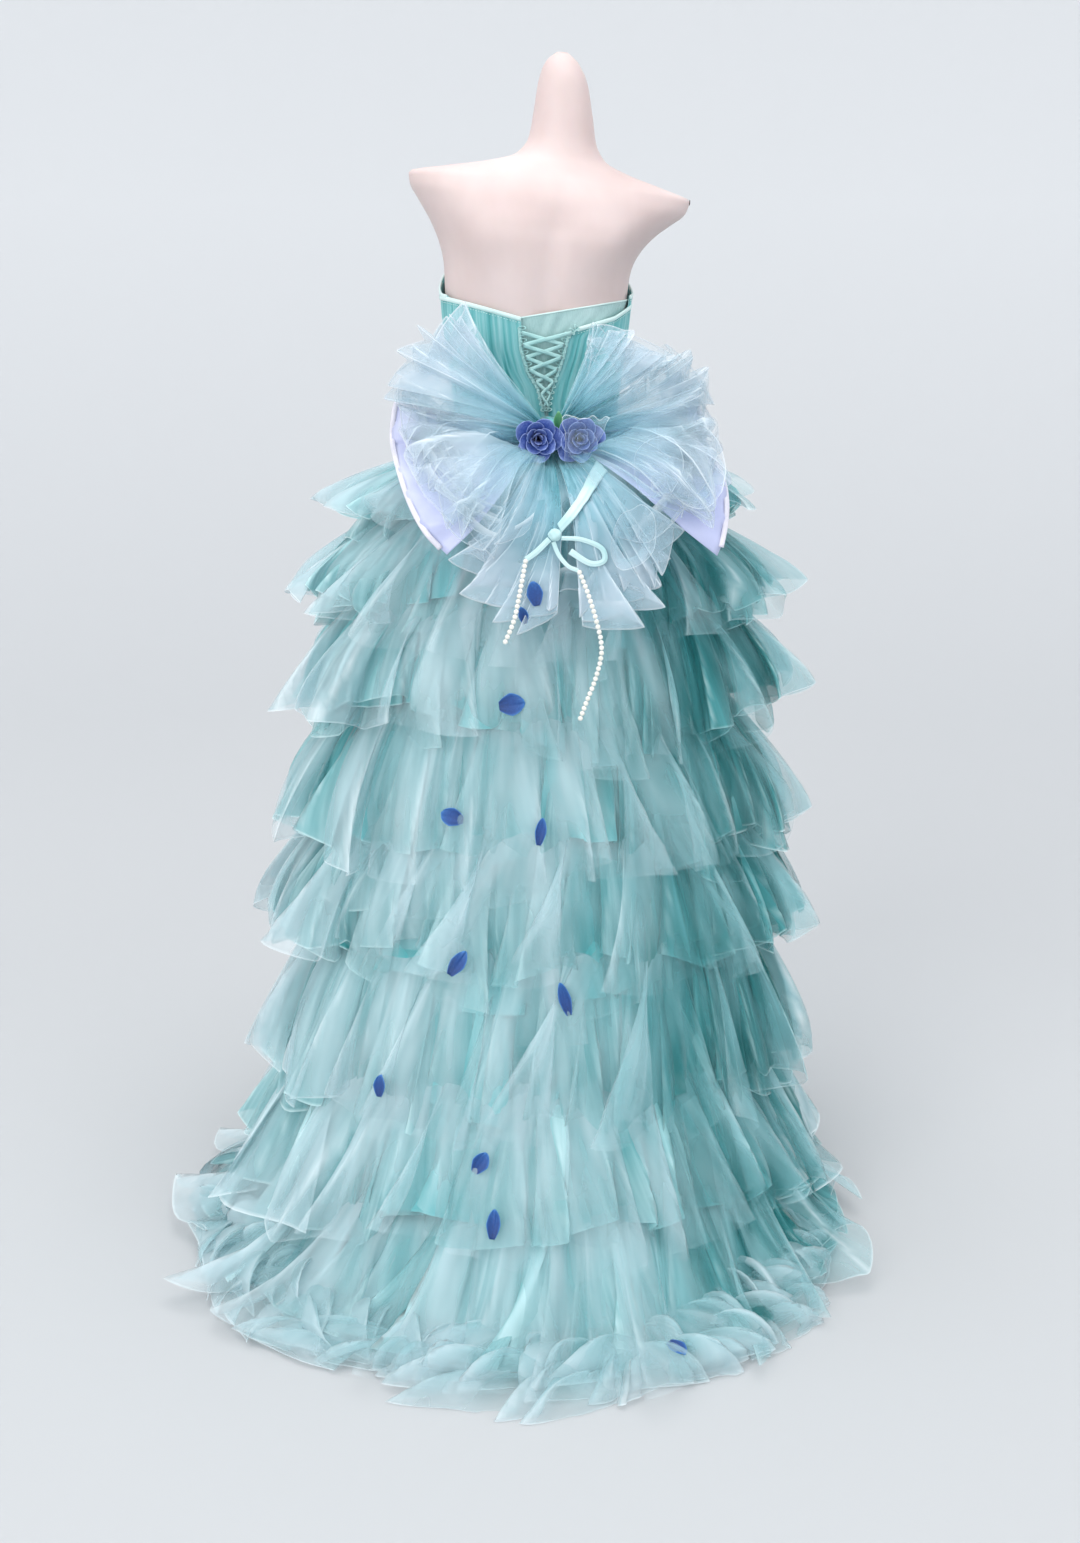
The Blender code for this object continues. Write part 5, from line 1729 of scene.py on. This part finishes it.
    def build(self, finishes: Finishes) -> list[Piece]:
        """All layers. The veil stands for the tier's solid, which is hidden."""
        made = []
        for layer in LAYERS:
            points, marks = self.grid(layer)
            own = {"film": finishes.film_net, "lining": finishes.lining_net}
            nodes = (self.tier.name,) if layer.name == "veil" else ()
            made.append(tailor(
                f"{self.tier.name}_{layer.name}", points, own.get(layer.name, finishes.gown_net), Slot.TULLE,
                *nodes, closed=True, layout=closed_uv, marks=marks, held=Held.GATHERED,
                rests_on="underskirt_cloth", thin=2))
        return made


@dataclass
class Skirt:
    """The underskirt, its flounces and the curled edge of the train."""

    def underskirt(self, finishes: Finishes) -> None:
        """The dense inner skirt."""
        chance = np.random.default_rng(11)
        angle = turned(300, SKIRT_START)
        z = np.linspace(SKIRT_TOP_Z, HEM_GAP, 36)[:, None]
        t = (SKIRT_TOP_Z - z) / 1.08
        ridge = 1 - 2 * np.abs(ring_noise(angle / TAU + 0.02 * t, 90, chance))
        points = ring_points(core_section(np.maximum(z, CORE_LOW_Z)), angle, (0.001 + 0.004 * t) * ridge, z)
        # Painted shade: the tone is paler on the gathered ridges and darker between them.
        tailor("underskirt_cloth", points, finishes.core_net, Slot.TEAL, "underskirt", closed=True,
               layout=closed_uv, marks={"tone": 0.20 + 0.22 * ridge, "rim": 0.0, "cover": 1.0},
               held=Held.GATHERED, rests_on="torso_shell", thin=2)

    def train_frill(self, finishes: Finishes) -> list[Piece]:
        """Crumpled loops of net heaped along the train's edge."""
        tier = TIERS[-1]
        chance = np.random.default_rng(17)
        rings = []
        for ring, (inset, wide, folds, tall) in enumerate((
            (0.004, 0.070, 52, 0.026), (0.024, 0.075, 58, 0.036), (0.058, 0.085, 50, 0.046),
        ), 1):
            angle = turned(900, SKIRT_START)
            turns = angle / TAU
            t = np.concatenate([np.linspace(0.0, 0.80, 7), [0.88, 0.94, 0.98, 1.0]])[:, None]
            big, shift, crest = ring_folds(folds, 1.9, chance).read(
                turns + 0.010 * t * ring_noise(turns, 13, chance))
            small, small_shift, _ = ring_folds(FRILL_FOLDS, 1.1, chance).read(turns)
            swell = 0.55 + 0.45 * ring_noise(turns, 23, chance)
            edge = inset + wide * (1 - t) + 0.020 * ring_noise(turns, 29, chance)
            edge = edge + 0.026 * smoothstep((t - 0.72) / 0.28) * swell
            size = {name: getattr(tier, name) - edge for name in ("left", "right", "front", "back")}
            size["centre"] = np.array(tier.centre)
            out = 0.030 * (big - 0.45) * t + 0.006 * (small - 0.4) * t
            arch = np.sin(math.pi * np.clip(0.12 + 0.88 * t, 0, 1)) ** 0.8
            z = 0.004 + tall * arch * (0.35 + 0.65 * big) * (0.6 + 0.8 * swell) + 0.010 * (1 - t)
            z = z + 0.008 * ring_noise(turns, 47, chance) * t + 0.004 * small
            points = ring_points(size, angle + TAU * (shift * t ** 0.7 + small_shift * 0.6), out,
                                 np.maximum(z, FLOOR_GAP))
            # Painted shade and highlight: the tone follows the folds' height, darker in their hollows, and
            # grows paler outwards; the rim mark whitens the outer edge and the fold crests.
            marks = {
                "tone": 0.50 + 0.35 * (big - 0.4) + 0.25 * t,
                "rim": np.maximum(np.where(t > 0.99, 0.8, 0.0), 0.40 * smoothstep((crest - 0.88) / 0.12) * t),
                "cover": 0.36 + 0.18 * (big - 0.4) - 0.08 * t,
            }
            rings.append(tailor(f"train_frill_{ring}", points, finishes.film_net, Slot.TULLE, closed=True,
                                layout=closed_uv, marks=marks, held=Held.GATHERED, rests_on="tier_8_veil"))
        return rings

    def build(self, finishes: Finishes) -> dict[str, list[Piece]]:
        """The whole skirt: each tier's layers by the tier's name, and the train's frill."""
        self.underskirt(finishes)
        layers = {tier.name: Flounce(tier, number).build(finishes) for number, tier in enumerate(TIERS, 1)}
        layers["train_frill"] = self.train_frill(finishes)
        return layers


# Bow


@dataclass
class Bow:
    """Poufs of stiff net, satin panels and tails, gathered at one centre over the bustle."""

    rows: Sequence[float] = (
        0.0, 0.05, 0.12, 0.20, 0.30, 0.40, 0.50, 0.60, 0.69, 0.77, 0.84, 0.90, 0.95, 0.985, 1.0, 0.99,
        0.96, 0.90, 0.82)
    heights: Sequence[float] = (
        0.0, 0.22, 0.42, 0.60, 0.76, 0.88, 0.96, 1.0, 1.0, 0.96, 0.87, 0.74, 0.56, 0.34, 0.10, -0.14,
        -0.32, -0.45, -0.50)
    columns: int = 170
    seat: str = "tier_1_veil"
    pouf_puff: float = 0.034
    tail_puff: float = 0.007
    pouf_cover: float = 0.22
    over_cover: float = 0.10
    tail_cover: float = 0.30
    loose_cover: float = 0.13

    def pouf(self, fan: Fan, name: str, puff: float, inset: float, seed: int, cover: float,
             finishes: Finishes, *nodes: str) -> Piece:
        """One gathered pouf that rolls under at its rim.

        Args:
            fan: The angles and reaches of its solid.
            name: The new object's name.
            puff: How far it billows.
            inset: How much shorter it is than the solid, as a share.
            seed: What makes its folds its own.
            cover: How dense its net looks.
            finishes: The gown's finishes.
            nodes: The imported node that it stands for, if any.

        Returns:
            The pouf.
        """
        chance = np.random.default_rng(seed)
        share = np.linspace(0.0, 0.999, self.columns)[None, :]
        along = np.array(self.rows)[:, None]
        rise = np.array(self.heights)[:, None]
        edge = np.clip(np.sin(math.pi * share) * 5, 0.0, 1.0)
        big, shift, crest = ring_folds(fan.pleats + 1, 1.3, chance).read(
            share + 0.05 * ring_noise(along * 0.5, 4, chance))
        small, small_shift, _ = ring_folds(17, 0.8, chance).read(share)
        crumple = (ring_noise(share * 0.5 + along * 0.33, 7, chance)
                   + ring_noise(share * 0.6 - along * 0.38, 9, chance))
        hub = np.exp(-(along / 0.26) ** 2)
        spread = math.radians(fan.end_deg - fan.start_deg)
        angle = math.radians(fan.start_deg) + spread * (share + edge * (
            0.9 * shift * along + 0.5 * small_shift * hub))
        ragged = 1.0 - 0.110 * (1.0 - big) - 0.050 * (0.5 + 0.5 * ring_noise(share * 0.9, 9, chance))
        reach = fan.reach_at(share) * (1 - inset) * np.minimum(ragged, 1.0)
        x, z = from_hub(blend(FAN_ROOT, reach, along), angle)
        billow = 1.0 + 0.30 * ring_noise(share * 0.9, fan.pleats, chance)
        lift = fan.lift + 0.006 * (1 - along) ** 2 + puff * rise * billow * (0.55 + 0.45 * edge)
        lift = lift + (0.008 + 0.40 * puff) * (big - 0.3) * along * np.clip(rise + 0.55, 0.1, 1.0)
        lift = lift + 0.0046 * (small - 0.4) * hub * np.clip(along * 5, 0, 1)
        lift = lift + 0.0075 * crumple * along * (0.4 + 0.6 * edge)
        brink = self.rows.index(1.0)
        floor = fan.lift + 0.0008 - np.where(np.arange(len(along))[:, None] > brink, 0.4 * puff, 0.0)
        points = bustle(x, z, np.maximum(lift, floor), 0.45 * along)
        # Painted shade: the tone is darker in the hollows of the pleats and crumples and near the hub where
        # the gathers bunch in, and paler outwards.
        tone = 0.44 + 0.40 * along + 0.18 * (big - 0.4) + 0.16 * (small - 0.4) * hub + 0.07 * crumple
        tone = tone - 0.38 * (1 - along) ** 2.5
        # Painted highlight through the rim mark on pleat crests, the rolled-under brink, the outer row and
        # both sides, where the net is also made denser.
        rim = 0.80 * smoothstep((crest - 0.95) / 0.05) * smoothstep((along - 0.25) / 0.5)
        rim[brink] = np.maximum(rim[brink], 0.80)
        rim[-1] = 0.9
        rim[:, :1] = 0.8
        rim[:, -1:] = 0.8
        density = cover + 0.34 * (1 - along) ** 1.6 + 0.14 * (big - 0.4) + 0.05 * crumple
        return tailor(name, points, finishes.bow_net, Slot.BOW, *nodes, layout=radial_uv,
                      marks={"tone": tone, "rim": rim, "cover": density}, held=Held.GATHERED,
                      rests_on=self.seat)

    def satin(self, fan: Fan, edge_at_start: bool, finishes: Finishes) -> None:
        """A satin panel with soft folds and a bright bound edge."""
        chance = np.random.default_rng(len(fan.name))
        share, along = spaced(90, 24)
        folds = ring_noise(share * 0.9 + 0.04 * along, 9, chance)
        lift = fan.lift + 0.0028 + 0.0032 * folds * np.clip(along * 2, 0, 1) + 0.004 * np.sin(math.pi * along)
        x, z = from_hub(blend(FAN_ROOT, fan.reach_at(share), along), fan.angle_at(share))
        points = bustle(x, z, lift, 0.5)
        tailor(fan.name + "_cloth", points, finishes.lilac_satin, Slot.LILAC, fan.name, layout=sheet_uv,
               wall=PANEL_WALL, held=Held.GATHERED, rests_on=self.seat)
        rail = points[:, 1] if edge_at_start else points[:, -2]
        rim = np.concatenate([rail, points[-1, ::4] if edge_at_start else points[-1, ::-4]])
        self.edging(fan.name + "_edging", rim, finishes)

    def edging(self, name: str, line: Array, finishes: Finishes) -> None:
        """A narrow folded strip along a line of points."""
        place = np.array([tuple(p) for p in route_through(vectors(line[::3]), 110)])
        out = np.array([0.0, 1.0, 0.0])
        side = np.cross(np.gradient(place, axis=0), out)
        side /= np.linalg.norm(side, axis=1, keepdims=True)
        rows = [place + side * 0.0034 * step + out * (0.0016 + 0.0014 * (1 - step ** 2))
                for step in np.linspace(-1.0, 1.0, 7)]
        tailor(name, np.array(rows), finishes.blush_satin, Slot.LILAC, wall=SATIN_WALL)

    def curl(self, plan: Curl, seed: int, finishes: Finishes) -> None:
        """One open loop that flares away from the bow."""
        chance = np.random.default_rng(seed)
        turn = turned(96)
        out = np.linspace(0.0, 1.0, 14)[:, None]
        turns = turn / TAU
        wobble = 1.0 + 0.16 * ring_noise(turns, 5, chance) + 0.05 * ring_noise(turns + 0.03 * out, 11, chance)
        flare = (0.62 + 0.38 * out ** 0.8) * wobble
        tilt = math.radians(plan.turn_deg)
        across = plan.wide * flare * np.cos(turn)
        rise = plan.tall * flare * np.sin(turn)
        x = plan.x + across * math.cos(tilt) - rise * math.sin(tilt)
        z = plan.z + across * math.sin(tilt) + rise * math.cos(tilt)
        lift = 0.026 + plan.depth * out * (0.8 + 0.3 * ring_noise(turns, 3, chance))
        points = bustle(x, z, lift, 0.45)
        # Painted highlight along the flared lip through the rim mark.
        marks = {
            "tone": 0.62 + 0.25 * out + 0.2 * (wobble - 1.0),
            "rim": np.where(out > 0.96, 0.9, 0.0),
            "cover": 0.34 - 0.16 * out + 0.3 * (wobble - 1.0),
        }
        tailor(plan.name, points, finishes.bow_net, Slot.BOW, closed=True, layout=closed_uv, marks=marks,
               held=Held.GATHERED, rests_on=self.seat)

    def centre(self, finishes: Finishes) -> None:
        """The drawn-in cloth at the middle that the roses sit on."""
        chance = np.random.default_rng(31)
        angle = turned(120)
        share = np.linspace(0.0, 1.0, 14)[:, None]
        radius = 0.0205 * np.sin(math.pi / 2 * np.clip(share * 1.06, 0.02, 1))
        creases = ring_noise(angle / TAU, 34, chance)
        y = HUB_FRONT_Y + 0.004 + (HUB.y - HUB_FRONT_Y - 0.004) * (1 - share ** 3) + 0.0010 * creases * share
        x, z = from_hub(radius, angle)
        # Painted shade: the tone is darker in the hollows of the creases.
        tailor("bow_centre_cloth", grid_of(x, y, z)[::-1], finishes.core_net, Slot.TEAL, "bow_centre",
               closed=True, marks={"tone": 0.25 + 0.25 * creases, "rim": 0.0, "cover": 1.0}, filled=True)

    def build(self, finishes: Finishes) -> list[Piece]:
        """The whole bow. Returns the gathered pieces that petals can lie on."""
        made = []
        for number, fan in enumerate(TULLE_FANS + TAIL_FANS):
            tail = fan in TAIL_FANS
            puff = self.tail_puff if tail else self.pouf_puff
            cover = self.tail_cover if tail else self.over_cover if "over" in fan.name else self.pouf_cover
            for label, height, inset, seed in (
                ("cloth", 1.0, 0.0, 40), ("middle", 0.7, 0.05, 50), ("inner", 0.4, 0.12, 60),
            ):
                nodes = (fan.name,) if label == "cloth" else ()
                made.append(self.pouf(fan, f"{fan.name}_{label}", puff * height, inset, seed + number, cover,
                                      finishes, *nodes))
        for number, fan in enumerate(LOOSE_FANS):
            self.pouf(fan, fan.name, fan.pleat, 0.0, 80 + number, self.loose_cover, finishes)
        for number, plan in enumerate(CURLS):
            self.curl(plan, 120 + number, finishes)
        self.satin(SATIN_FANS[0], False, finishes)
        self.satin(SATIN_FANS[1], True, finishes)
        self.centre(finishes)
        return made


# Ribbon, roses and petals


@dataclass(frozen=True)
class Strip:
    """A ribbon laid over the bow: its node, route in x and z, widths and lifts at its ends."""

    node: str
    route: Sequence[tuple[float, float]]
    widths: tuple[float, float]
    lifts: tuple[float, float]


@dataclass
class Ribbon:
    """The narrow ribbon, its knot and its loose ends."""

    knot_x: float = 0.0124
    knot_y: float = 0.3418
    knot_z: float = 0.9895
    knot_radius: float = 0.008

    def strips(self) -> Sequence[Strip]:
        """Every strip and where it runs."""
        x, z = 0.012, 0.986
        clear = self.knot_radius + 0.0004
        return (
            Strip("ribbon_band", ((-0.061, 1.0535), (-0.040, 1.034), (-0.015, 1.008),
                                  (x - 0.66 * clear, z + 0.66 * clear)), (0.015, 0.008), (0.0116, 0.0220)),
            Strip("ribbon_loop", ((x - 0.93 * clear, z - 0.004), (-0.020, 0.980), (-0.044, 0.969),
                                  (-0.047, 0.953), (-0.030, 0.950), (-0.006, 0.966)),
                  (0.005, 0.008), (0.0220, 0.0220)),
            Strip("ribbon_end_left", ((x + 0.8 * clear, z - 0.6 * clear), (0.034, 0.966), (0.047, 0.956)),
                  (0.007, 0.007), (0.0220, 0.0220)),
            Strip("ribbon_end_right", ((x + 0.002, z - clear - 0.0001), (0.008, 0.962), (-0.003, 0.947),
                                       (-0.0155, 0.9405)), (0.005, 0.005), (0.0220, 0.0220)),
        )

    def strip(self, plan: Strip, finishes: Finishes) -> None:
        """One ribbon over the bow, slightly domed."""
        count = 12 * len(plan.route)
        flat = route_through([(x, 0.0, z) for x, z in plan.route], count)
        share = np.linspace(0.0, 1.0, count)
        x = np.array([p.x for p in flat])
        z = np.array([p.z for p in flat])
        ahead = np.stack([np.gradient(x), np.gradient(z)], axis=1)
        ahead /= np.linalg.norm(ahead, axis=1, keepdims=True)
        width = blend(*plan.widths, share)
        lift = blend(*plan.lifts, share)
        rows = []
        for side in np.linspace(-1.0, 1.0, 9):
            crease = 0.0009 * (1 - side ** 2) + 0.0004 * math.cos(side * 7)
            rows.append(bustle(x - ahead[:, 1] * side * width / 2, z + ahead[:, 0] * side * width / 2,
                               lift + 0.0006 + crease, 1.0))
        held = Held.LAID if max(plan.widths) > NARROWEST_SHEET else None
        tailor(plan.node + "_cloth", np.array(rows), finishes.ribbon_satin, Slot.MINT, plan.node,
               wall=RIBBON_WALL, held=held, rests_on="tail_right_cloth")

    def knot(self, finishes: Finishes) -> None:
        """A small knot, drawn over by two turns of the ribbon."""
        angle = turned(48)
        fall = np.linspace(0.02, math.pi - 0.02, 26)[:, None]
        crease = 1.0 + 0.055 * np.cos(angle * 3 + fall * 4) + 0.03 * np.cos(angle * 7 - fall * 5)
        radius = self.knot_radius * crease
        x = self.knot_x + radius * np.sin(fall) * np.cos(angle) * 1.05
        z = self.knot_z + radius * np.cos(fall) * 0.95
        y = self.knot_y + radius * np.sin(fall) * np.sin(angle) * 0.72
        tailor("ribbon_knot_cloth", grid_of(x, y, z), finishes.ribbon_satin, Slot.MINT, "ribbon_knot",
               closed=True, filled=True)

    def build(self, finishes: Finishes) -> None:
        """The whole ribbon."""
        for plan in self.strips():
            self.strip(plan, finishes)
        self.knot(finishes)


def petal_grid(width: float, length: float, cup: float, curl: float, wave: float, chance: np.random.Generator,
               columns: int = 15, rows: int = 13, taper: float = 0.62) -> tuple[Array, Array]:
    """A rounded petal that grows along +Y of its own frame and faces +Z.

    Args:
        width: Its widest.
        length: From its root to its tip.
        cup: How much it is hollowed.
        curl: How far its edge rolls back.
        wave: How much its edge ripples.
        chance: What makes it its own.
        columns: Points across.
        rows: Points along.
        taper: How much it narrows to both ends, 0 for not at all.

    Returns:
        The points and the tone of each one.
    """
    share = np.linspace(-1.0, 1.0, columns)[None, :]
    along = np.linspace(0.0, 1.0, rows)[:, None]
    outline = np.sin(math.pi * np.clip(0.10 + 0.86 * along ** 0.8, 0, 1)) ** taper
    outline = outline * (0.55 + 0.45 * np.minimum(along * 2, 1))
    x = width / 2 * share * outline
    y = length * (along - 0.10 * along ** 2 * share ** 2)
    ripple = wave * ring_noise(share * 0.4 + 0.5, 9, chance) * along ** 2
    edge = np.maximum(np.abs(share) ** 3, along ** 5)
    z = cup * (share ** 2 * outline + 0.6 * along ** 2) - curl * edge ** 2 * along + ripple
    return grid_of(x, y, z), 0.30 + 0.35 * along + 0.45 * edge ** 3 - 0.05 * np.cos(share * 9) * (1 - along)


@dataclass
class Rose:
    """A full cloth rose that faces away from the bow."""

    node: str
    x: float
    z: float
    seat_y: float = 0.2043
    radius: float = 0.026
    height: float = 0.024
    petals: int = 19
    seed: int = 5

    def build(self, finishes: Finishes) -> None:
        """A tight bud inside petals that open more towards the outside."""
        chance = np.random.default_rng(self.seed)
        parts = []
        for number in range(self.petals):
            share = number / (self.petals - 1)
            turn = math.radians(SPIRAL_DEG) * number + chance.uniform(-0.2, 0.2)
            opening = 0.10 + 1.12 * share ** 1.3
            width = self.radius * (0.75 + 0.95 * share)
            length = self.height * (0.92 - 0.02 * share) + self.radius * 0.30 * share
            grid, tone = petal_grid(width, length, 0.0060 + 0.003 * share, 0.0012 + 0.0060 * share,
                                    0.0014 * share, chance)
            root = 0.0012 + 0.0070 * share
            wrap = grid[..., 0] / max(root * 1.6 + 0.006, 0.006)
            reach = root + grid[..., 1] * math.sin(opening) + 0.35 * grid[..., 2] * math.cos(opening)
            rise = grid[..., 1] * math.cos(opening) * 0.98 - grid[..., 2] * math.sin(opening) * 0.5
            bend = turn + np.clip(wrap, -1.5, 1.5) * (0.85 - 0.15 * share)
            points = grid_of(self.x + reach * np.cos(bend), self.seat_y + 0.0015 + rise * 0.93,
                             self.z + reach * np.sin(bend))
            parts.append(grid_mesh(f"{self.node}_petal_{number + 1}", points, False, None, {"tone": tone}))
        angle = turned(24)
        ring = np.array([0.0, 0.55, 0.8, 0.72])[:, None] * self.radius * 0.62
        depth = np.array([0.0004, 0.0004, 0.004, 0.009])[:, None]
        cup = grid_of(self.x + ring * np.cos(angle), self.seat_y + depth, self.z + ring * np.sin(angle))
        parts.append(grid_mesh(self.node + "_cup", cup, True, None, {"tone": 0.0}))
        made = join(self.node + "_cloth", parts)
        cloth_wall(made, PETAL_WALL)
        settle(made, finishes.rose_blue, Slot.BLUE, self.node)


@dataclass
class Flowers:
    """The roses, their leaf and the scrap of net drawn over the right one."""

    leaf_x: float = -0.0075
    leaf_y: float = 0.2056
    leaf_z: float = 1.110

    def build(self, finishes: Finishes) -> None:
        """All of them."""
        Rose("rose_left", 0.0195, 1.099, seed=5).build(finishes)
        Rose("rose_right", -0.0345, 1.099, seed=9).build(finishes)
        self.leaf(finishes)
        self.scrap(finishes)

    def leaf(self, finishes: Finishes) -> None:
        """A small folded leaf between the roses."""
        chance = np.random.default_rng(2)
        grid, tone = petal_grid(0.0136, 0.024, 0.002, 0.001, 0.0006, chance)
        fold = 0.0012 * np.abs(np.linspace(-1, 1, grid.shape[1]))[None, :]
        across, along, out = np.moveaxis(grid, -1, 0)
        points = grid_of(self.leaf_x + across, self.leaf_y + out + fold, self.leaf_z + along)
        tailor("leaf_cloth", points, finishes.leaf, Slot.LEAF, "leaf", marks={"tone": tone}, wall=PETAL_WALL)

    def scrap(self, finishes: Finishes) -> None:
        """Crumpled net over the right rose."""
        chance = np.random.default_rng(71)
        share = np.linspace(-1.0, 1.0, 60)[None, :]
        down = np.linspace(-1.0, 1.0, 44)[:, None]
        narrow = 0.55 + 0.45 * np.clip(down, -1.0, 1.0)
        x = -0.041 + 0.019 * (1 - narrow) + (0.004 + 0.027 * narrow) * share
        x = x + 0.003 * ring_noise(down * 0.45 + 0.5, 7, chance)
        z = 1.089 + 0.038 * down + 0.004 * narrow * ring_noise(share * 0.45 + 0.5, 8, chance)
        reach = np.sqrt(share ** 2 + down ** 2)
        crumple = (ring_noise(share * 0.4 + 0.5 + 0.08 * down, 12, chance)
                   + ring_noise(down * 0.4 + 0.5, 10, chance))
        y = 0.2335 - 0.008 * reach ** 2 + 0.0020 * crumple + 0.004 * np.clip(-down, 0.0, 1.0)
        # Painted highlight round its border through the rim mark. Painted shade: the tone is paler where the
        # crumples stand out and darker in their hollows.
        rim = np.pad(np.zeros((len(down) - 2, share.size - 2)), 1, constant_values=1.0)
        tailor("rose_scrap", grid_of(x, y, z)[::-1], finishes.bow_net, Slot.BOW, layout=sheet_uv,
               marks={"tone": 0.80 + 0.12 * crumple, "rim": rim, "cover": 0.12}, held=Held.DRAPED,
               rests_on="rose_right_cloth")


@dataclass(frozen=True)
class LoosePetal:
    """One scattered petal: where it lies, its size and its turn.

    height is its z, or its y where it is laid on the train from above.
    """

    number: int
    x: float
    height: float
    width: float
    length: float
    turn_deg: float
    from_above: bool = False


@dataclass
class LoosePetals:
    """Petals scattered down the back of the skirt."""

    petals: Sequence[LoosePetal] = (
        LoosePetal(1, 0.039, 0.918, 0.021, 0.031, 10), LoosePetal(2, 0.054, 0.892, 0.013, 0.022, 15),
        LoosePetal(3, 0.064, 0.771, 0.030, 0.034, -80), LoosePetal(4, 0.140, 0.617, 0.025, 0.034, 80),
        LoosePetal(5, 0.030, 0.607, 0.015, 0.036, -10), LoosePetal(6, 0.140, 0.438, 0.021, 0.038, -35),
        LoosePetal(7, 0.001, 0.385, 0.017, 0.045, 15), LoosePetal(8, 0.242, 0.262, 0.018, 0.030, 0),
        LoosePetal(9, 0.117, 0.184, 0.023, 0.030, -35), LoosePetal(10, 0.104, 0.116, 0.019, 0.038, -8),
        LoosePetal(11, -0.105, 0.640, 0.022, 0.031, 30, from_above=True),
    )

    def build(self, finishes: Finishes, cloth: Sequence[Piece]) -> None:
        """Lay each one on the outermost cloth below or behind it."""
        trees = [tree_of(item) for item in cloth]
        for plan in self.petals:
            start, ray = Vector((plan.x, 1.2, plan.height)), Vector((0.0, -1.0, 0.0))
            if plan.from_above:
                start, ray = Vector((plan.x, plan.height, 0.6)), Vector((0.0, 0.0, -1.0))
            hits = [found for found in (tree.ray_cast(start, ray) for tree in trees) if found[0] is not None]
            if not hits:
                LOG.warning("petal %d finds no cloth", plan.number)
                continue
            place = min(hits, key=lambda found: found[3])[0]
            self.lay(plan, place, self.facing(trees, place, ray), finishes)

    def facing(self, trees: Sequence[BVHTree], place: Vector, ray: Vector) -> Vector:
        """The cloth's average direction round a place, away from the ray's start."""
        total = Vector((0.0, 0.0, 0.0))
        for shift in ((0.008, 0.0), (-0.008, 0.0), (0.0, 0.008), (0.0, -0.008), (0.0, 0.0)):
            low, high = (shift[1], 0.0) if abs(ray.z) > 0.5 else (0.0, shift[1])
            aside = Vector((shift[0], low, high))
            start = place + aside - ray * 0.05
            for tree in trees:
                found = tree.ray_cast(start, ray, 0.1)
                if found[0] is not None:
                    total += found[1] if found[1].dot(ray) < 0 else -found[1]
        total -= ray * 1.5
        return total.normalized()

    def lay(self, plan: LoosePetal, place: Vector, normal: Vector, finishes: Finishes) -> None:
        """One cupped petal on the cloth."""
        chance = np.random.default_rng(100 + plan.number)
        grid, tone = petal_grid(plan.width, plan.length, 0.0040, 0.0010, 0.0016, chance, 19, 17, 0.40)
        up = Vector((0.0, 0.0, 1.0))
        side = up.cross(normal).normalized() if abs(normal.z) < 0.95 else Vector((1.0, 0.0, 0.0))
        rise = normal.cross(side)
        turn = math.radians(plan.turn_deg)
        right = side * math.cos(turn) + rise * math.sin(turn)
        along = rise * math.cos(turn) - side * math.sin(turn)
        points = placed(place + normal * 0.0022, (right, along, normal),
                        (grid[..., 0], grid[..., 1] - plan.length / 2, grid[..., 2]))
        tailor(f"loose_petal_{plan.number}", points, finishes.loose_blue, Slot.BLUE,
               f"petal_{plan.number:02d}", marks={"tone": tone}, wall=SATIN_WALL)


def tree_of(made: Piece) -> BVHTree:
    """A search tree over a piece's own mesh."""
    work = bmesh.new()
    work.from_mesh(made.data)
    tree = BVHTree.FromBMesh(work)
    work.free()
    return tree


def main() -> None:
    """Build the whole picture."""
    logging.basicConfig(level=logging.INFO, format="%(message)s")
    finishes = Finishes()
    Studio().build(finishes.paper)
    PearlStrings().build(finishes)
    form = DressForm()
    form.build(finishes)
    bodice = Bodice(form)
    bodice.build(finishes)
    Lacing(bodice).build(finishes)
    layers = Skirt().build(finishes)
    bow = Bow().build(finishes)
    Ribbon().build(finishes)
    Flowers().build(finishes)
    cloth = bow + [piece for pieces in layers.values() for piece in pieces]
    LoosePetals().build(finishes, cloth)


if __name__ == "__main__":
    main()
